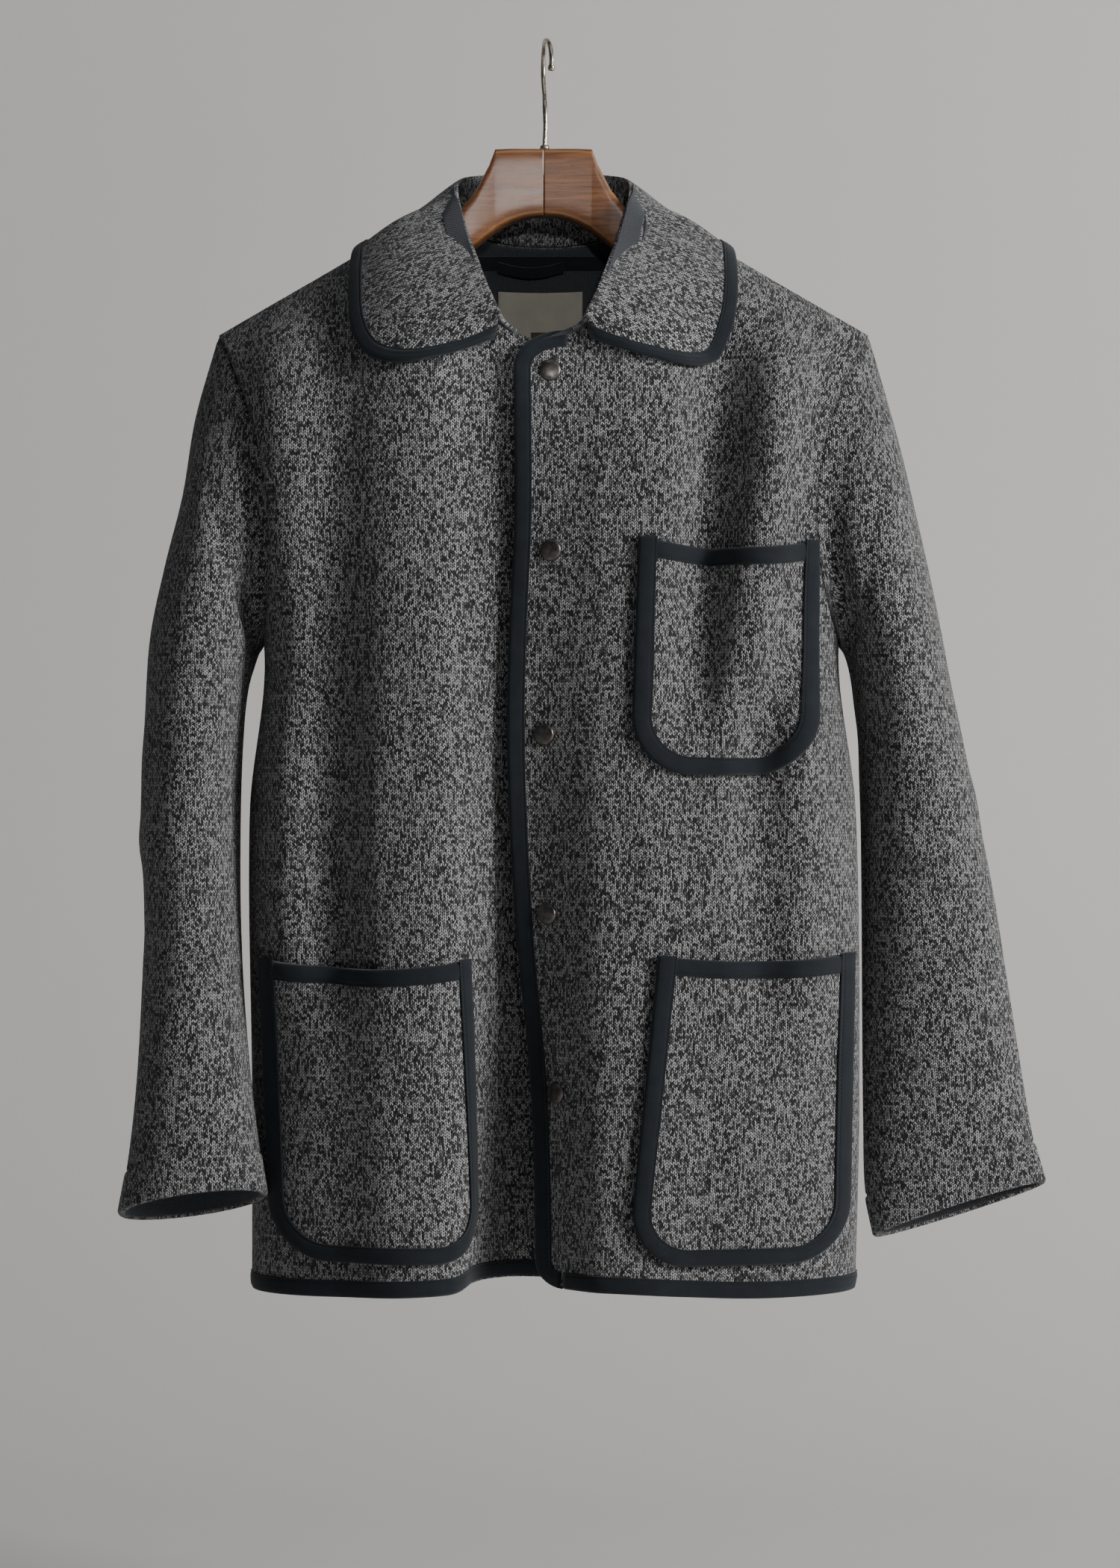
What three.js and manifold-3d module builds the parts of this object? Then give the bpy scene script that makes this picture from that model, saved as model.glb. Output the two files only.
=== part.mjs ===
// Chore jacket of thick marled wool knit, edged with tape, hanging on a wooden hanger.
// Millimetres, +Z up. The front faces -Y, and +X is the wearer's left.
// The origin is the point where the hanger's hook rests on what holds it.
import * as THREE from "three";
import { mergeVertices } from "three/addons/utils/BufferGeometryUtils.js";
import Module from "manifold-3d";

const wasm = await Module();
wasm.setup();

// Cloth
const WALL = 3; // knit cloth
const GAP = 0.3; // between pieces at a seam
const SEAM_CLEAR = 0.2; // from a seam's plane to the cloth on each side
const TAPE = 0.9; // binding tape, one layer
const TAPE_OFF = 0.9; // between the tape and the cloth that it is sewn round
const TAPE_WIDE = 10;

// Body of the jacket
const ARMPIT_Z = -424;
const SHOULDER_NECK_Z = -114; // height of the shoulder line at the neck point
const SHOULDER_FALL = 0.58; // fall of the shoulder for each millimetre outwards
const SHOULDER_ROUND = 195; // depth over which the chest swells below the shoulder
const NECK_HALF = 72;
const NECK_FRONT_Z = -214;
const NECK_BACK_Z = -139;
const SIDE_POWER = 2.67; // roundness of a section, 2 is an ellipse
const FRONT_EDGE_UNDER_X = 24; // edge of the right front, below the left front
const LAP = 8.6; // right front lies this far behind the left front

// Sections of the body: height, middle, half width, depth of front and back
const SECTIONS = [
  { z: -880, middle: 7, half: 211.5, front: 92, back: 88 },
  { z: -740, middle: 8.5, half: 213, front: 95, back: 90 },
  { z: -541, middle: 6.5, half: 212.5, front: 95, back: 90 },
  { z: -424, middle: 5.5, half: 201.5, front: 93, back: 89 },
  { z: -316, middle: 2, half: 226, front: 90, back: 86 },
  { z: -205, middle: 0, half: 262, front: 88, back: 82 },
  { z: -100, middle: 0, half: 266, front: 86, back: 78 },
];

// Bound edge of the left front: height and place of the edge
const FRONT_EDGE = [
  { z: -875, x: -4 },
  { z: -787, x: -5 },
  { z: -720, x: -8 },
  { z: -620, x: -17 },
  { z: -500, x: -22.5 },
  { z: -420, x: -21.5 },
  { z: -340, x: -18 },
  { z: -214, x: -18.5 },
];

// Soft folds of the fronts: place and half width at two heights, and how far each stands out at the two
const FRONT_FOLDS = [
  { top: -300, topX: -105, low: -760, lowX: -118, half: 46, topOut: 2, lowOut: 9 },
  { top: -420, topX: -78, low: -700, lowX: -98, half: 28, topOut: -1, lowOut: -6 },
  { top: -380, topX: -62, low: -860, lowX: -64, half: 32, topOut: 1, lowOut: 8 },
  { top: -300, topX: 34, low: -520, lowX: 24, half: 20, topOut: 3, lowOut: 4 },
  { top: -330, topX: 92, low: -560, lowX: 118, half: 30, topOut: -8, lowOut: -5 },
  { top: -420, topX: 70, low: -860, lowX: 78, half: 40, topOut: 2, lowOut: 9 },
  { top: -560, topX: 160, low: -860, lowX: 150, half: 34, topOut: 1, lowOut: 5 },
];

// Soft folds of the back
const BACK_FOLDS = [
  { top: -330, topX: -60, low: -860, lowX: -78, half: 40, topOut: 2, lowOut: 10 },
  { top: -330, topX: 66, low: -860, lowX: 84, half: 44, topOut: 2, lowOut: 11 },
  { top: -360, topX: 4, low: -860, lowX: 2, half: 34, topOut: -2, lowOut: -8 },
  { top: -420, topX: -140, low: -860, lowX: -150, half: 30, topOut: -1, lowOut: -6 },
  { top: -420, topX: 146, low: -860, lowX: 156, half: 30, topOut: -1, lowOut: -6 },
];

// Groove where the two fronts roll back at the centre, deeper towards the hem
const GROOVE = { startZ: -400, endZ: -880, deep: 30, x: -17, halfLeft: 46, halfRight: 70 };

// Armholes: how far out the loop is at the top, half way down and at the armpit
const ARMHOLES = {
  left: { side: 1, top: 228, mid: 189, low: 207 },
  right: { side: -1, top: 228, mid: 191, low: 196 },
};
const ARMHOLE_TOP_Z = -206;

// Sleeve rings below the armhole: outermost and innermost point, and the middle and half depth in Y
const SLEEVES = {
  right: [
    { outX: -244, outZ: -262, inX: -198.5, inZ: -427, y: 0, deep: 60 },
    { outX: -253, outZ: -318, inX: -200.5, inZ: -431, y: -4, deep: 64 },
    { outX: -265, outZ: -368, inX: -203, inZ: -440, y: -9, deep: 65 },
    { outX: -275, outZ: -420, inX: -206, inZ: -455, y: -15, deep: 63 },
    { outX: -278, outZ: -478, inX: -209.5, inZ: -488, y: -22, deep: 60 },
    { outX: -281, outZ: -534, inX: -211, inZ: -540, y: -28, deep: 58 },
    { outX: -277, outZ: -605, inX: -210.5, inZ: -600, y: -37, deep: 52 },
    { outX: -278, outZ: -668, inX: -207.5, inZ: -662, y: -46, deep: 47 },
    { outX: -281, outZ: -730, inX: -202, inZ: -722, y: -54, deep: 43 },
    { outX: -286, outZ: -780, inX: -196, inZ: -768, y: -60, deep: 40 },
    { outX: -292, outZ: -815, inX: -190.6, inZ: -801, y: -63, deep: 37 },
  ],
  left: [
    { outX: 247, outZ: -272, inX: 209.5, inZ: -427, y: 0, deep: 60 },
    { outX: 262, outZ: -333, inX: 212, inZ: -431, y: 3, deep: 63 },
    { outX: 274, outZ: -385, inX: 215, inZ: -440, y: 7, deep: 63 },
    { outX: 285, outZ: -438, inX: 218, inZ: -456, y: 12, deep: 61 },
    { outX: 296, outZ: -490, inX: 221.5, inZ: -490, y: 16, deep: 57 },
    { outX: 308, outZ: -547, inX: 224, inZ: -540, y: 20, deep: 51 },
    { outX: 319, outZ: -602, inX: 225, inZ: -600, y: 22, deep: 45 },
    { outX: 331, outZ: -678, inX: 225.5, inZ: -690, y: 22, deep: 38 },
    { outX: 341, outZ: -742, inX: 226, inZ: -760, y: 20, deep: 30 },
    { outX: 347, outZ: -775, inX: 227, inZ: -805, y: 18, deep: 25 },
    { outX: 354, outZ: -800, inX: 233, inZ: -838, y: 16, deep: 19 },
  ],
};
const CUFF_HEM = 27; // turned in and stitched
const CUFF_WALL = 5.6;

// Collar stations from the centre front round to the centre back: place on the neck seam (degrees from the
// shoulder, front negative), the roll line, and the leaf's edge, for a wearer's left half (x is mirrored)
const COLLAR = [
  { seam: -74, rollX: 29, rollY: -96, rollZ: -204, leafX: 33, leafZ: -217 },
  { seam: -69, rollX: 31, rollY: -95, rollZ: -198, leafX: 50, leafZ: -223 },
  { seam: -62, rollX: 35, rollY: -91, rollZ: -190, leafX: 71, leafZ: -229 },
  { seam: -55, rollX: 40, rollY: -85, rollZ: -180, leafX: 96, leafZ: -233 },
  { seam: -47, rollX: 44, rollY: -78, rollZ: -170, leafX: 117, leafZ: -227 },
  { seam: -38, rollX: 48, rollY: -68, rollZ: -158, leafX: 128, leafZ: -210 },
  { seam: -27, rollX: 53, rollY: -53, rollZ: -143, leafX: 131, leafZ: -187 },
  { seam: -14, rollX: 58, rollY: -33, rollZ: -124, leafX: 131, leafZ: -166 },
  { seam: 0, rollX: 62, rollY: -10, rollZ: -105, leafX: 129, leafZ: -149 },
  { seam: 25, rollX: 59, rollY: 18, rollZ: -93, leafX: 118, leafZ: -158 },
  { seam: 50, rollX: 45, rollY: 42, rollZ: -87, leafX: 88, leafZ: -164 },
  { seam: 70, rollX: 24, rollY: 54, rollZ: -84.5, leafX: 46, leafZ: -168 },
  { seam: 90, rollX: 0, rollY: 58, rollZ: -84, leafX: 0, leafZ: -170 },
];

// Patch pockets: the four corners of each on the front, as wide and high as they lie, and the corner radius
const POCKETS = {
  chest_pocket: {
    topZ: -355, sag: 7, lowZ: -513, round: 40,
    topLeft: 66.5, topRight: 186.5, lowLeft: 61, lowRight: 185,
  },
  lower_pocket_left: {
    topZ: -640, sag: 4, lowZ: -848, round: 40,
    topLeft: 79.5, topRight: 211, lowLeft: 59, lowRight: 207,
  },
  lower_pocket_right: {
    topZ: -643, sag: 6, lowZ: -846, round: 40,
    topLeft: -192, topRight: -48, lowLeft: -184, lowRight: -34,
  },
};

const SNAPS = [
  { x: 5, z: -238 },
  { x: 5.5, z: -361 },
  { x: 1, z: -487 },
  { x: 3, z: -610 },
  { x: 9, z: -733 },
];
const SNAP_RADIUS = 7.5;

// Hanger: sections of one half from the middle outwards
const HANGER_GAP = 0.4;
const HANGER = [
  { x: 0, top: -75, low: -122, deep: 11 },
  { x: 12, top: -75, low: -123, deep: 11.5 },
  { x: 24, top: -75, low: -127, deep: 12 },
  { x: 34, top: -75.5, low: -133, deep: 12.5 },
  { x: 38, top: -86, low: -136, deep: 13 },
  { x: 47, top: -104, low: -143, deep: 14 },
  { x: 59, top: -118, low: -151, deep: 15 },
  { x: 80, top: -126, low: -163, deep: 17 },
  { x: 120, top: -148.5, low: -185, deep: 18 },
  { x: 165, top: -174.5, low: -210, deep: 18 },
  { x: 205, top: -198, low: -231, deep: 16 },
  { x: 214, top: -206, low: -229, deep: 10 },
];
const HOOK_WIRE = 3.5;

const MATERIALS = {
  knit: new THREE.MeshStandardMaterial({ color: 0x55565a, roughness: 0.95, metalness: 0 }),
  tape: new THREE.MeshStandardMaterial({ color: 0x1a1e25, roughness: 0.85, metalness: 0 }),
  label: new THREE.MeshStandardMaterial({ color: 0xd9d2be, roughness: 0.9, metalness: 0 }),
  wood: new THREE.MeshStandardMaterial({ color: 0x7a4722, roughness: 0.4, metalness: 0 }),
  metal: new THREE.MeshStandardMaterial({ color: 0x8d8a84, roughness: 0.35, metalness: 1 }),
};

// Rows of the panels, as shares of the height below and above the armpit, closer at the rounded corners
const LOW_ROWS = [0, 0.003, 0.012, 0.036, 0.075, 0.14, 0.22, 0.31, 0.4, 0.5, 0.61, 0.73, 0.87];
const HIGH_ROWS = [0, 0.12, 0.25, 0.38, 0.5, 0.62, 0.74, 0.84, 0.92, 0.97, 1];

const jacket = new THREE.Group();

const lerp = THREE.MathUtils.lerp;
const clamp = THREE.MathUtils.clamp;
const smooth = THREE.MathUtils.smoothstep;
const radians = THREE.MathUtils.degToRad;
const V = (x, y, z) => new THREE.Vector3(x, y, z);
const range = (count) => Array.from({ length: count }, (_, i) => i);

/** Value of a column at a key of a table: smooth curve through the rows, whose keys rise. */
function along(table, key, column, at) {
  const last = table.length - 1;
  if (at <= table[0][key]) return table[0][column];
  if (at >= table[last][key]) return table[last][column];
  let i = 0;
  while (table[i + 1][key] < at) i++;
  const row = (k) => table[clamp(k, 0, last)];
  const a = row(i);
  const b = row(i + 1);
  const slope = (k) => {
    const p = row(k - 1);
    const n = row(k + 1);
    return (n[column] - p[column]) / (n[key] - p[key]);
  };
  const span = b[key] - a[key];
  const t = (at - a[key]) / span;
  const h1 = (1 + 2 * t) * (1 - t) ** 2;
  const h2 = t * (1 - t) ** 2;
  const h3 = t * t * (3 - 2 * t);
  const h4 = t * t * (t - 1);
  return h1 * a[column] + h2 * span * slope(i) + h3 * b[column] + h4 * span * slope(i + 1);
}

const bell = (d) => (Math.abs(d) < 1 ? (0.5 + 0.5 * Math.cos(Math.PI * d)) : 0);

/** Sum of the folds at a place: each is a bell across, and grows from its top to its foot. */
function foldsOut(folds, x, z) {
  let out = 0;
  for (const f of folds) {
    const down = (f.top - z) / (f.top - f.low);
    const strength = down < 0 ? f.topOut * bell(down * 3) : lerp(f.topOut, f.lowOut, Math.min(down, 1));
    out += strength * bell((x - lerp(f.topX, f.lowX, down)) / f.half / 1.6);
  }
  return out;
}

function grooveIn(x, z) {
  const down = clamp((GROOVE.startZ - z) / (GROOVE.startZ - GROOVE.endZ), 0, 1);
  const d = x - GROOVE.x;
  return GROOVE.deep * down ** 1.5 * bell(d / (d < 0 ? GROOVE.halfLeft : GROOVE.halfRight));
}

const shoulderZ = (x) => SHOULDER_NECK_Z - SHOULDER_FALL * Math.max(0, Math.abs(x) - NECK_HALF);

/** Share of the full depth that the cloth has at a distance below the shoulder line. */
function swell(x, z) {
  const h = clamp((shoulderZ(x) - z) / SHOULDER_ROUND, 0, 1);
  return (1 - (1 - h) ** 2.5) ** 0.6;
}

/** Outer face of the body at x, z: depth times (1 - |across|^p)^(1/p) times the swell below the shoulder. */
function bodyPoint(x, z, isFront) {
  const middle = along(SECTIONS, "z", "middle", z);
  const half = along(SECTIONS, "z", "half", z);
  const across = Math.min(1, Math.abs(x - middle) / half);
  const round = (1 - across ** SIDE_POWER) ** (1 / SIDE_POWER);
  const depth = along(SECTIONS, "z", isFront ? "front" : "back", z) * round * swell(x, z);
  const calm = Math.min(1, round * 1.3) * Math.min(1, swell(x, z) * 1.1);
  const y = isFront
    ? -depth - calm * foldsOut(FRONT_FOLDS, x, z) + grooveIn(x, z)
    : depth + calm * foldsOut(BACK_FOLDS, x, z);
  return V(x, y, z);
}

/** Outward normal of the body's face, from two short steps on it. */
function bodyNormal(x, z, isFront) {
  const step = 1.5;
  const dx = bodyPoint(x + step, z, isFront).sub(bodyPoint(x - step, z, isFront));
  const dz = bodyPoint(x, z + step, isFront).sub(bodyPoint(x, z - step, isFront));
  const n = dx.cross(dz).normalize();
  if (isFront ? n.y > 0 : n.y < 0) n.negate();
  return n;
}

/** Point of the body's face moved out along its normal, or in below zero. It keeps its foot. */
function bodyOut(x, z, isFront, out) {
  const p = bodyPoint(x, z, isFront).addScaledVector(bodyNormal(x, z, isFront), out);
  p.foot = { x, z, isFront, out };
  return p;
}

/** Armhole loop at an angle: 0 at the shoulder, 180 at the armpit. */
function armholePoint(name, angle, isFront) {
  const { side, top, mid, low } = ARMHOLES[name];
  const cos = Math.cos(angle);
  const mean = (top + low) / 4;
  const x = mean + mid / 2 + ((top - low) / 2) * cos + (mean - mid / 2) * Math.cos(2 * angle);
  const z = lerp(ARMPIT_Z, ARMHOLE_TOP_Z, (1 + cos) / 2);
  const at = bodyPoint(side * x, z, isFront);
  const flat = Math.abs(Math.sin(angle));
  at.y = flat < 0.02 ? 0 : at.y;
  return at;
}

/** Hem height across the front and back: it rises a little at the centre front. */
const hemZ = (x, isFront) => (isFront ? -871 + 5 * bell((x - 20) / 200) - 2 * bell((x - 130) / 90) : -874);

const frontEdgeX = (z) => along(FRONT_EDGE, "z", "x", z);

/** Turns a grid of outer points and a grid of inner points into one closed wall. */
function wall(name, outer, inner, material, closedRound = false) {
  walls.set(name, { outer, inner, closedRound });
  const { positions, faces } = wallFaces(outer, inner, closedRound);
  return solid(name, positions, faces, material);
}
const walls = new Map();

/** Points and triangles of a wall: its outer and inner face, and the rim round its open edges. */
function wallFaces(outer, inner, closedRound) {
  const rows = outer.length;
  const columns = outer[0].length;
  const positions = [];
  for (const p of [...outer.flat(), ...inner.flat()]) positions.push(p.x, p.y, p.z);
  const at = (side, i, j) => side * rows * columns + i * columns + (j % columns);
  const faces = [];
  const quad = (a, b, c, d) => faces.push(a, b, c, a, c, d);
  const spans = closedRound ? columns : columns - 1;
  for (let i = 0; i < rows - 1; i++)
    for (let j = 0; j < spans; j++) {
      quad(at(0, i, j), at(0, i, j + 1), at(0, i + 1, j + 1), at(0, i + 1, j));
      quad(at(1, i, j), at(1, i + 1, j), at(1, i + 1, j + 1), at(1, i, j + 1));
    }
  for (let j = 0; j < spans; j++) {
    quad(at(0, 0, j), at(1, 0, j), at(1, 0, j + 1), at(0, 0, j + 1));
    quad(at(0, rows - 1, j), at(0, rows - 1, j + 1), at(1, rows - 1, j + 1), at(1, rows - 1, j));
  }
  if (!closedRound)
    for (let i = 0; i < rows - 1; i++) {
      quad(at(0, i, 0), at(0, i + 1, 0), at(1, i + 1, 0), at(1, i, 0));
      quad(at(0, i, spans), at(1, i, spans), at(1, i + 1, spans), at(0, i + 1, spans));
    }
  return { positions, faces };
}

/** Adds a named closed mesh, with its faces turned outwards if its volume comes out negative. */
function solid(name, positions, faces, material) {
  const geometry = new THREE.BufferGeometry();
  geometry.setAttribute("position", new THREE.Float32BufferAttribute(positions, 3));
  geometry.setIndex(faces);
  const p = (i) => V(positions[3 * i], positions[3 * i + 1], positions[3 * i + 2]);
  let volume = 0;
  for (let f = 0; f < faces.length; f += 3) volume += p(faces[f]).dot(p(faces[f + 1]).cross(p(faces[f + 2])));
  if (volume < 0) geometry.setIndex(faces.map((_, k) => faces[k - (k % 3) + 2 - (k % 3)]));
  const merged = mergeVertices(geometry, 1e-4);
  merged.computeVertexNormals();
  const mesh = new THREE.Mesh(merged, MATERIALS[material]);
  mesh.name = name;
  jacket.add(mesh);
  return mesh;
}

/** Solid of a closed mesh that has its shared points merged. */
function manifoldOf(positions, faces) {
  const vertProperties = new Float32Array(positions);
  const solidOf = (corners) =>
    new wasm.Manifold(new wasm.Mesh({ numProp: 3, vertProperties, triVerts: new Uint32Array(corners) }));
  const made = solidOf(faces);
  if (made.volume() > 0) return made;
  return solidOf(faces.map((_, k) => faces[k - 2 * (k % 3) + 2]));
}

/** A wall made thicker on both faces and wider at its edges, to cut the seam gap into what lies on it. */
function thicker(name, by) {
  const { outer, inner, closedRound } = walls.get(name);
  const away = (p, from) => p.clone().sub(from).setLength(by);
  const grow = (a, b) =>
    a.map((row, i) =>
      row.map((p, j) => {
        const q = p.clone().add(away(p, b[i][j]));
        if (i === 0) q.add(away(p, a[1][j]));
        if (i === a.length - 1) q.add(away(p, a[i - 1][j]));
        if (!closedRound && j === 0) q.add(away(p, row[1]));
        if (!closedRound && j === row.length - 1) q.add(away(p, row[j - 1]));
        return q;
      }),
    );
  const { positions, faces } = wallFaces(grow(outer, inner), grow(inner, outer), closedRound);
  return manifoldOf(positions, faces);
}

/** Cuts a piece back to a seam gap from the walls that it lies on or is sewn round. */
function fitTo(name, ...wallNames) {
  const mesh = jacket.getObjectByName(name);
  let made = manifoldOf([...mesh.geometry.attributes.position.array], [...mesh.geometry.index.array]);
  for (const other of wallNames) made = made.subtract(thicker(other, GAP));
  made = made.decompose().sort((a, b) => b.volume() - a.volume())[0];
  const { vertProperties, triVerts } = made.getMesh();
  const geometry = new THREE.BufferGeometry();
  geometry.setAttribute("position", new THREE.Float32BufferAttribute(vertProperties, 3));
  geometry.setIndex([...triVerts]);
  geometry.computeVertexNormals();
  mesh.geometry = geometry;
}

/** Closed solid along a path: every station is a ring of points, and both ends are capped. */
function sweep(name, rings, material) {
  const count = rings[0].length;
  const positions = [];
  for (const ring of rings) for (const p of ring) positions.push(p.x, p.y, p.z);
  const faces = [];
  for (let i = 0; i < rings.length - 1; i++)
    for (let j = 0; j < count; j++) {
      const k = (j + 1) % count;
      const a = i * count;
      faces.push(a + j, a + k, a + count + k, a + j, a + count + k, a + count + j);
    }
  for (const end of [0, rings.length - 1]) {
    const ring = rings[end];
    const flat = ring.map((p) => p.clone());
    const normal = V(0, 0, 0);
    for (let j = 0; j < count; j++) normal.add(flat[j].clone().cross(flat[(j + 1) % count]));
    normal.normalize();
    const across = flat[1].clone().sub(flat[0]).projectOnPlane(normal).normalize();
    const up = normal.clone().cross(across);
    const outline = flat.map((p) => new THREE.Vector2(p.dot(across), p.dot(up)));
    for (const [a, b, c] of THREE.ShapeUtils.triangulateShape(outline, [])) {
      const base = end * count;
      if (end === 0) faces.push(base + a, base + c, base + b);
      else faces.push(base + a, base + b, base + c);
    }
  }
  return solid(name, positions, faces, material);
}

/** Normals of a grid of points, turned to the side that a hint gives. */
function gridNormals(grid, hint, closedRound = false) {
  const rows = grid.length;
  const columns = grid[0].length;
  const column = (j) => (closedRound ? (j + columns) % columns : clamp(j, 0, columns - 1));
  return grid.map((row, i) =>
    row.map((p, j) => {
      const du = row[column(j + 1)].clone().sub(row[column(j - 1)]);
      const dv = grid[clamp(i + 1, 0, rows - 1)][j].clone().sub(grid[clamp(i - 1, 0, rows - 1)][j]);
      const n = du.cross(dv).normalize();
      return n.dot(hint(p)) < 0 ? n.negate() : n;
    }),
  );
}

/**
 * Grid of a front or back from the hem up. Columns run from the side seam to the centre edge.
 * Above the armpit a row is a blend of the row at the armpit and the shoulder and neck line, and its ends
 * follow the armhole and the centre edge.
 */
function halfPanel(armhole, isFront, edgeX, neckEnd, columns, layer, cornerRound) {
  const { side } = ARMHOLES[armhole];
  const share = range(columns + 1).map((j) => j / columns);
  const shoulderShare = 0.52;
  // x along a level row: a power of the cosine from the side seam, so that the round side has close steps
  const levelX = (s, z, endX) => {
    const middle = along(SECTIONS, "z", "middle", z);
    const half = along(SECTIONS, "z", "half", z);
    const end = Math.acos(clamp((side * (endX - middle)) / half, -1, 1));
    return middle + side * half * Math.cos(s * end);
  };
  const cornerX = (z, low, high) => {
    if (!cornerRound) return 0;
    const top = clamp((z - (high - cornerRound.top)) / cornerRound.top, 0, 1);
    const foot = clamp((low + cornerRound.foot - z) / cornerRound.foot, 0, 1);
    const inset = (radius, u) => side * radius * (1 - Math.sqrt(1 - u * u));
    return inset(cornerRound.top, top) + inset(cornerRound.foot, foot);
  };
  const footZ = hemZ(edgeX(-870), isFront);
  const cornerAt = (z) => cornerX(z, footZ, neckEnd.z);
  const grid = [];
  const atPlace = (x, z) => bodyOut(x, z, isFront, -layer(x));
  for (const t of LOW_ROWS) {
    grid.push(
      share.map((s) => {
        const z = lerp(footZ, ARMPIT_Z, t);
        const x = levelX(s, z, edgeX(z)) + cornerAt(z) * s ** 7;
        const p = atPlace(x, lerp(hemZ(x, isFront), ARMPIT_Z, t));
        if (s === 0) p.y = 0;
        return p;
      }),
    );
  }
  const neckPoint = V(side * NECK_HALF, 0, SHOULDER_NECK_Z);
  const topRow = (s) => {
    if (s <= shoulderShare) {
      const t = s / shoulderShare;
      const tip = armholePoint(armhole, 0, isFront);
      const x = lerp(tip.x, neckPoint.x, t);
      return V(x, 0, lerp(tip.z, neckPoint.z, t));
    }
    const t = (s - shoulderShare) / (1 - shoulderShare);
    return neckSeam(side, t * neckEnd.angle, isFront);
  };
  const topEnd = topRow(1);
  for (const t of HIGH_ROWS) {
    const armAt = armholePoint(armhole, Math.PI * (1 - t), isFront);
    const armLow = armholePoint(armhole, Math.PI, isFront);
    const armTop = armholePoint(armhole, 0, isFront);
    const endZ = lerp(ARMPIT_Z, topEnd.z, t);
    const endX = edgeX(endZ) + cornerAt(endZ);
    grid.push(
      share.map((s) => {
        const top = topRow(s);
        const lowX = levelX(s, ARMPIT_Z, edgeX(ARMPIT_Z));
        const atArm = (1 - s) ** 2.2;
        const atEnd = s ** 4;
        const x =
          lerp(lowX, top.x, t) +
          atArm * (armAt.x - lerp(armLow.x, armTop.x, t)) +
          atEnd * (endX - lerp(edgeX(ARMPIT_Z), topEnd.x, t));
        const z = lerp(ARMPIT_Z, top.z, t) + atArm * (armAt.z - lerp(armLow.z, armTop.z, t));
        if (s === 0) return armAt;
        const p = atPlace(x, z);
        if (t === 1 && s <= shoulderShare + 1e-9) return V(x, 0, z);
        return p;
      }),
    );
  }
  return grid;
}

/** Neck seam on the body: a quarter ellipse from the shoulder down to the centre front or back. */
function neckSeam(side, angle, isFront) {
  const lowZ = isFront ? NECK_FRONT_Z : NECK_BACK_Z;
  const x = side * NECK_HALF * Math.cos(angle);
  const z = SHOULDER_NECK_Z - (SHOULDER_NECK_Z - lowZ) * Math.sin(angle);
  return bodyPoint(x, z, isFront);
}

/** Moves every point of a panel off the plane of its side and shoulder seams, by half the seam gap. */
function clearSeam(grid, isFront) {
  for (const p of grid.flat()) p.y = isFront ? Math.min(p.y, -SEAM_CLEAR) : Math.max(p.y, SEAM_CLEAR);
}

/** Wall of a panel: the inner face is the outer one moved in, at the armhole towards its middle. */
function panelWall(name, outer, isFront, armholes) {
  const out = (p) => V(Math.sign(p.x) * 0.6, isFront ? -1 : 1, 0.3);
  const normals = gridNormals(outer, out);
  const inner = outer.map((row, i) => row.map((p, j) => p.clone().addScaledVector(normals[i][j], -WALL)));
  const firstHigh = LOW_ROWS.length;
  for (const { column, name: armhole } of armholes)
    for (let i = firstHigh; i < outer.length; i++) {
      const p = outer[i][column];
      const t = HIGH_ROWS[i - firstHigh];
      inner[i][column] = p.clone().addScaledVector(armholeIn(armhole, p), WALL);
      const side = ARMHOLES[armhole].side;
      if (t < 0.02) inner[i][column] = p.clone().add(V(-side * WALL, 0, 0));
      for (const q of [p, inner[i][column]]) q.x -= side * (GAP / 2);
    }
  clearSeam(outer, isFront);
  clearSeam(inner, isFront);
  return wall(name, outer, inner, "knit");
}

/** Direction from a point of the armhole towards the armhole's middle. */
function armholeIn(name, p) {
  const middleZ = (ARMPIT_Z + ARMHOLE_TOP_Z) / 2;
  return V(0, -p.y, middleZ - p.z).normalize();
}

// Fronts and back
const FRONT_COLUMNS = 16;
const BACK_COLUMNS = 8;
const EDGE_CORNERS = { top: 22, foot: 16 };
const noLayer = () => 0;
const underLayer = (x) => LAP * smooth(x, -75, -38);

const leftEnd = { angle: radians(76), z: NECK_FRONT_Z };
const leftGrid = halfPanel("left", true, frontEdgeX, leftEnd, FRONT_COLUMNS, noLayer, EDGE_CORNERS);
panelWall("front_left", leftGrid, true, [{ column: 0, name: "left" }]);

const rightEnd = { angle: radians(102), z: NECK_FRONT_Z };
const underEdgeX = () => FRONT_EDGE_UNDER_X;
const rightGrid = halfPanel("right", true, underEdgeX, rightEnd, FRONT_COLUMNS, underLayer, null);
panelWall("front_right", rightGrid, true, [{ column: 0, name: "right" }]);

const backEnd = { angle: Math.PI / 2, z: NECK_BACK_Z };
const backLeft = halfPanel("left", false, () => 0, backEnd, BACK_COLUMNS, noLayer, null);
const backRight = halfPanel("right", false, () => 0, backEnd, BACK_COLUMNS, noLayer, null);
const backGrid = backLeft.map((row, i) => [...row, ...backRight[i].slice(0, -1).reverse()]);
panelWall("back", backGrid, false, [
  { column: 0, name: "left" },
  { column: 2 * BACK_COLUMNS, name: "right" },
]);

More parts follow.
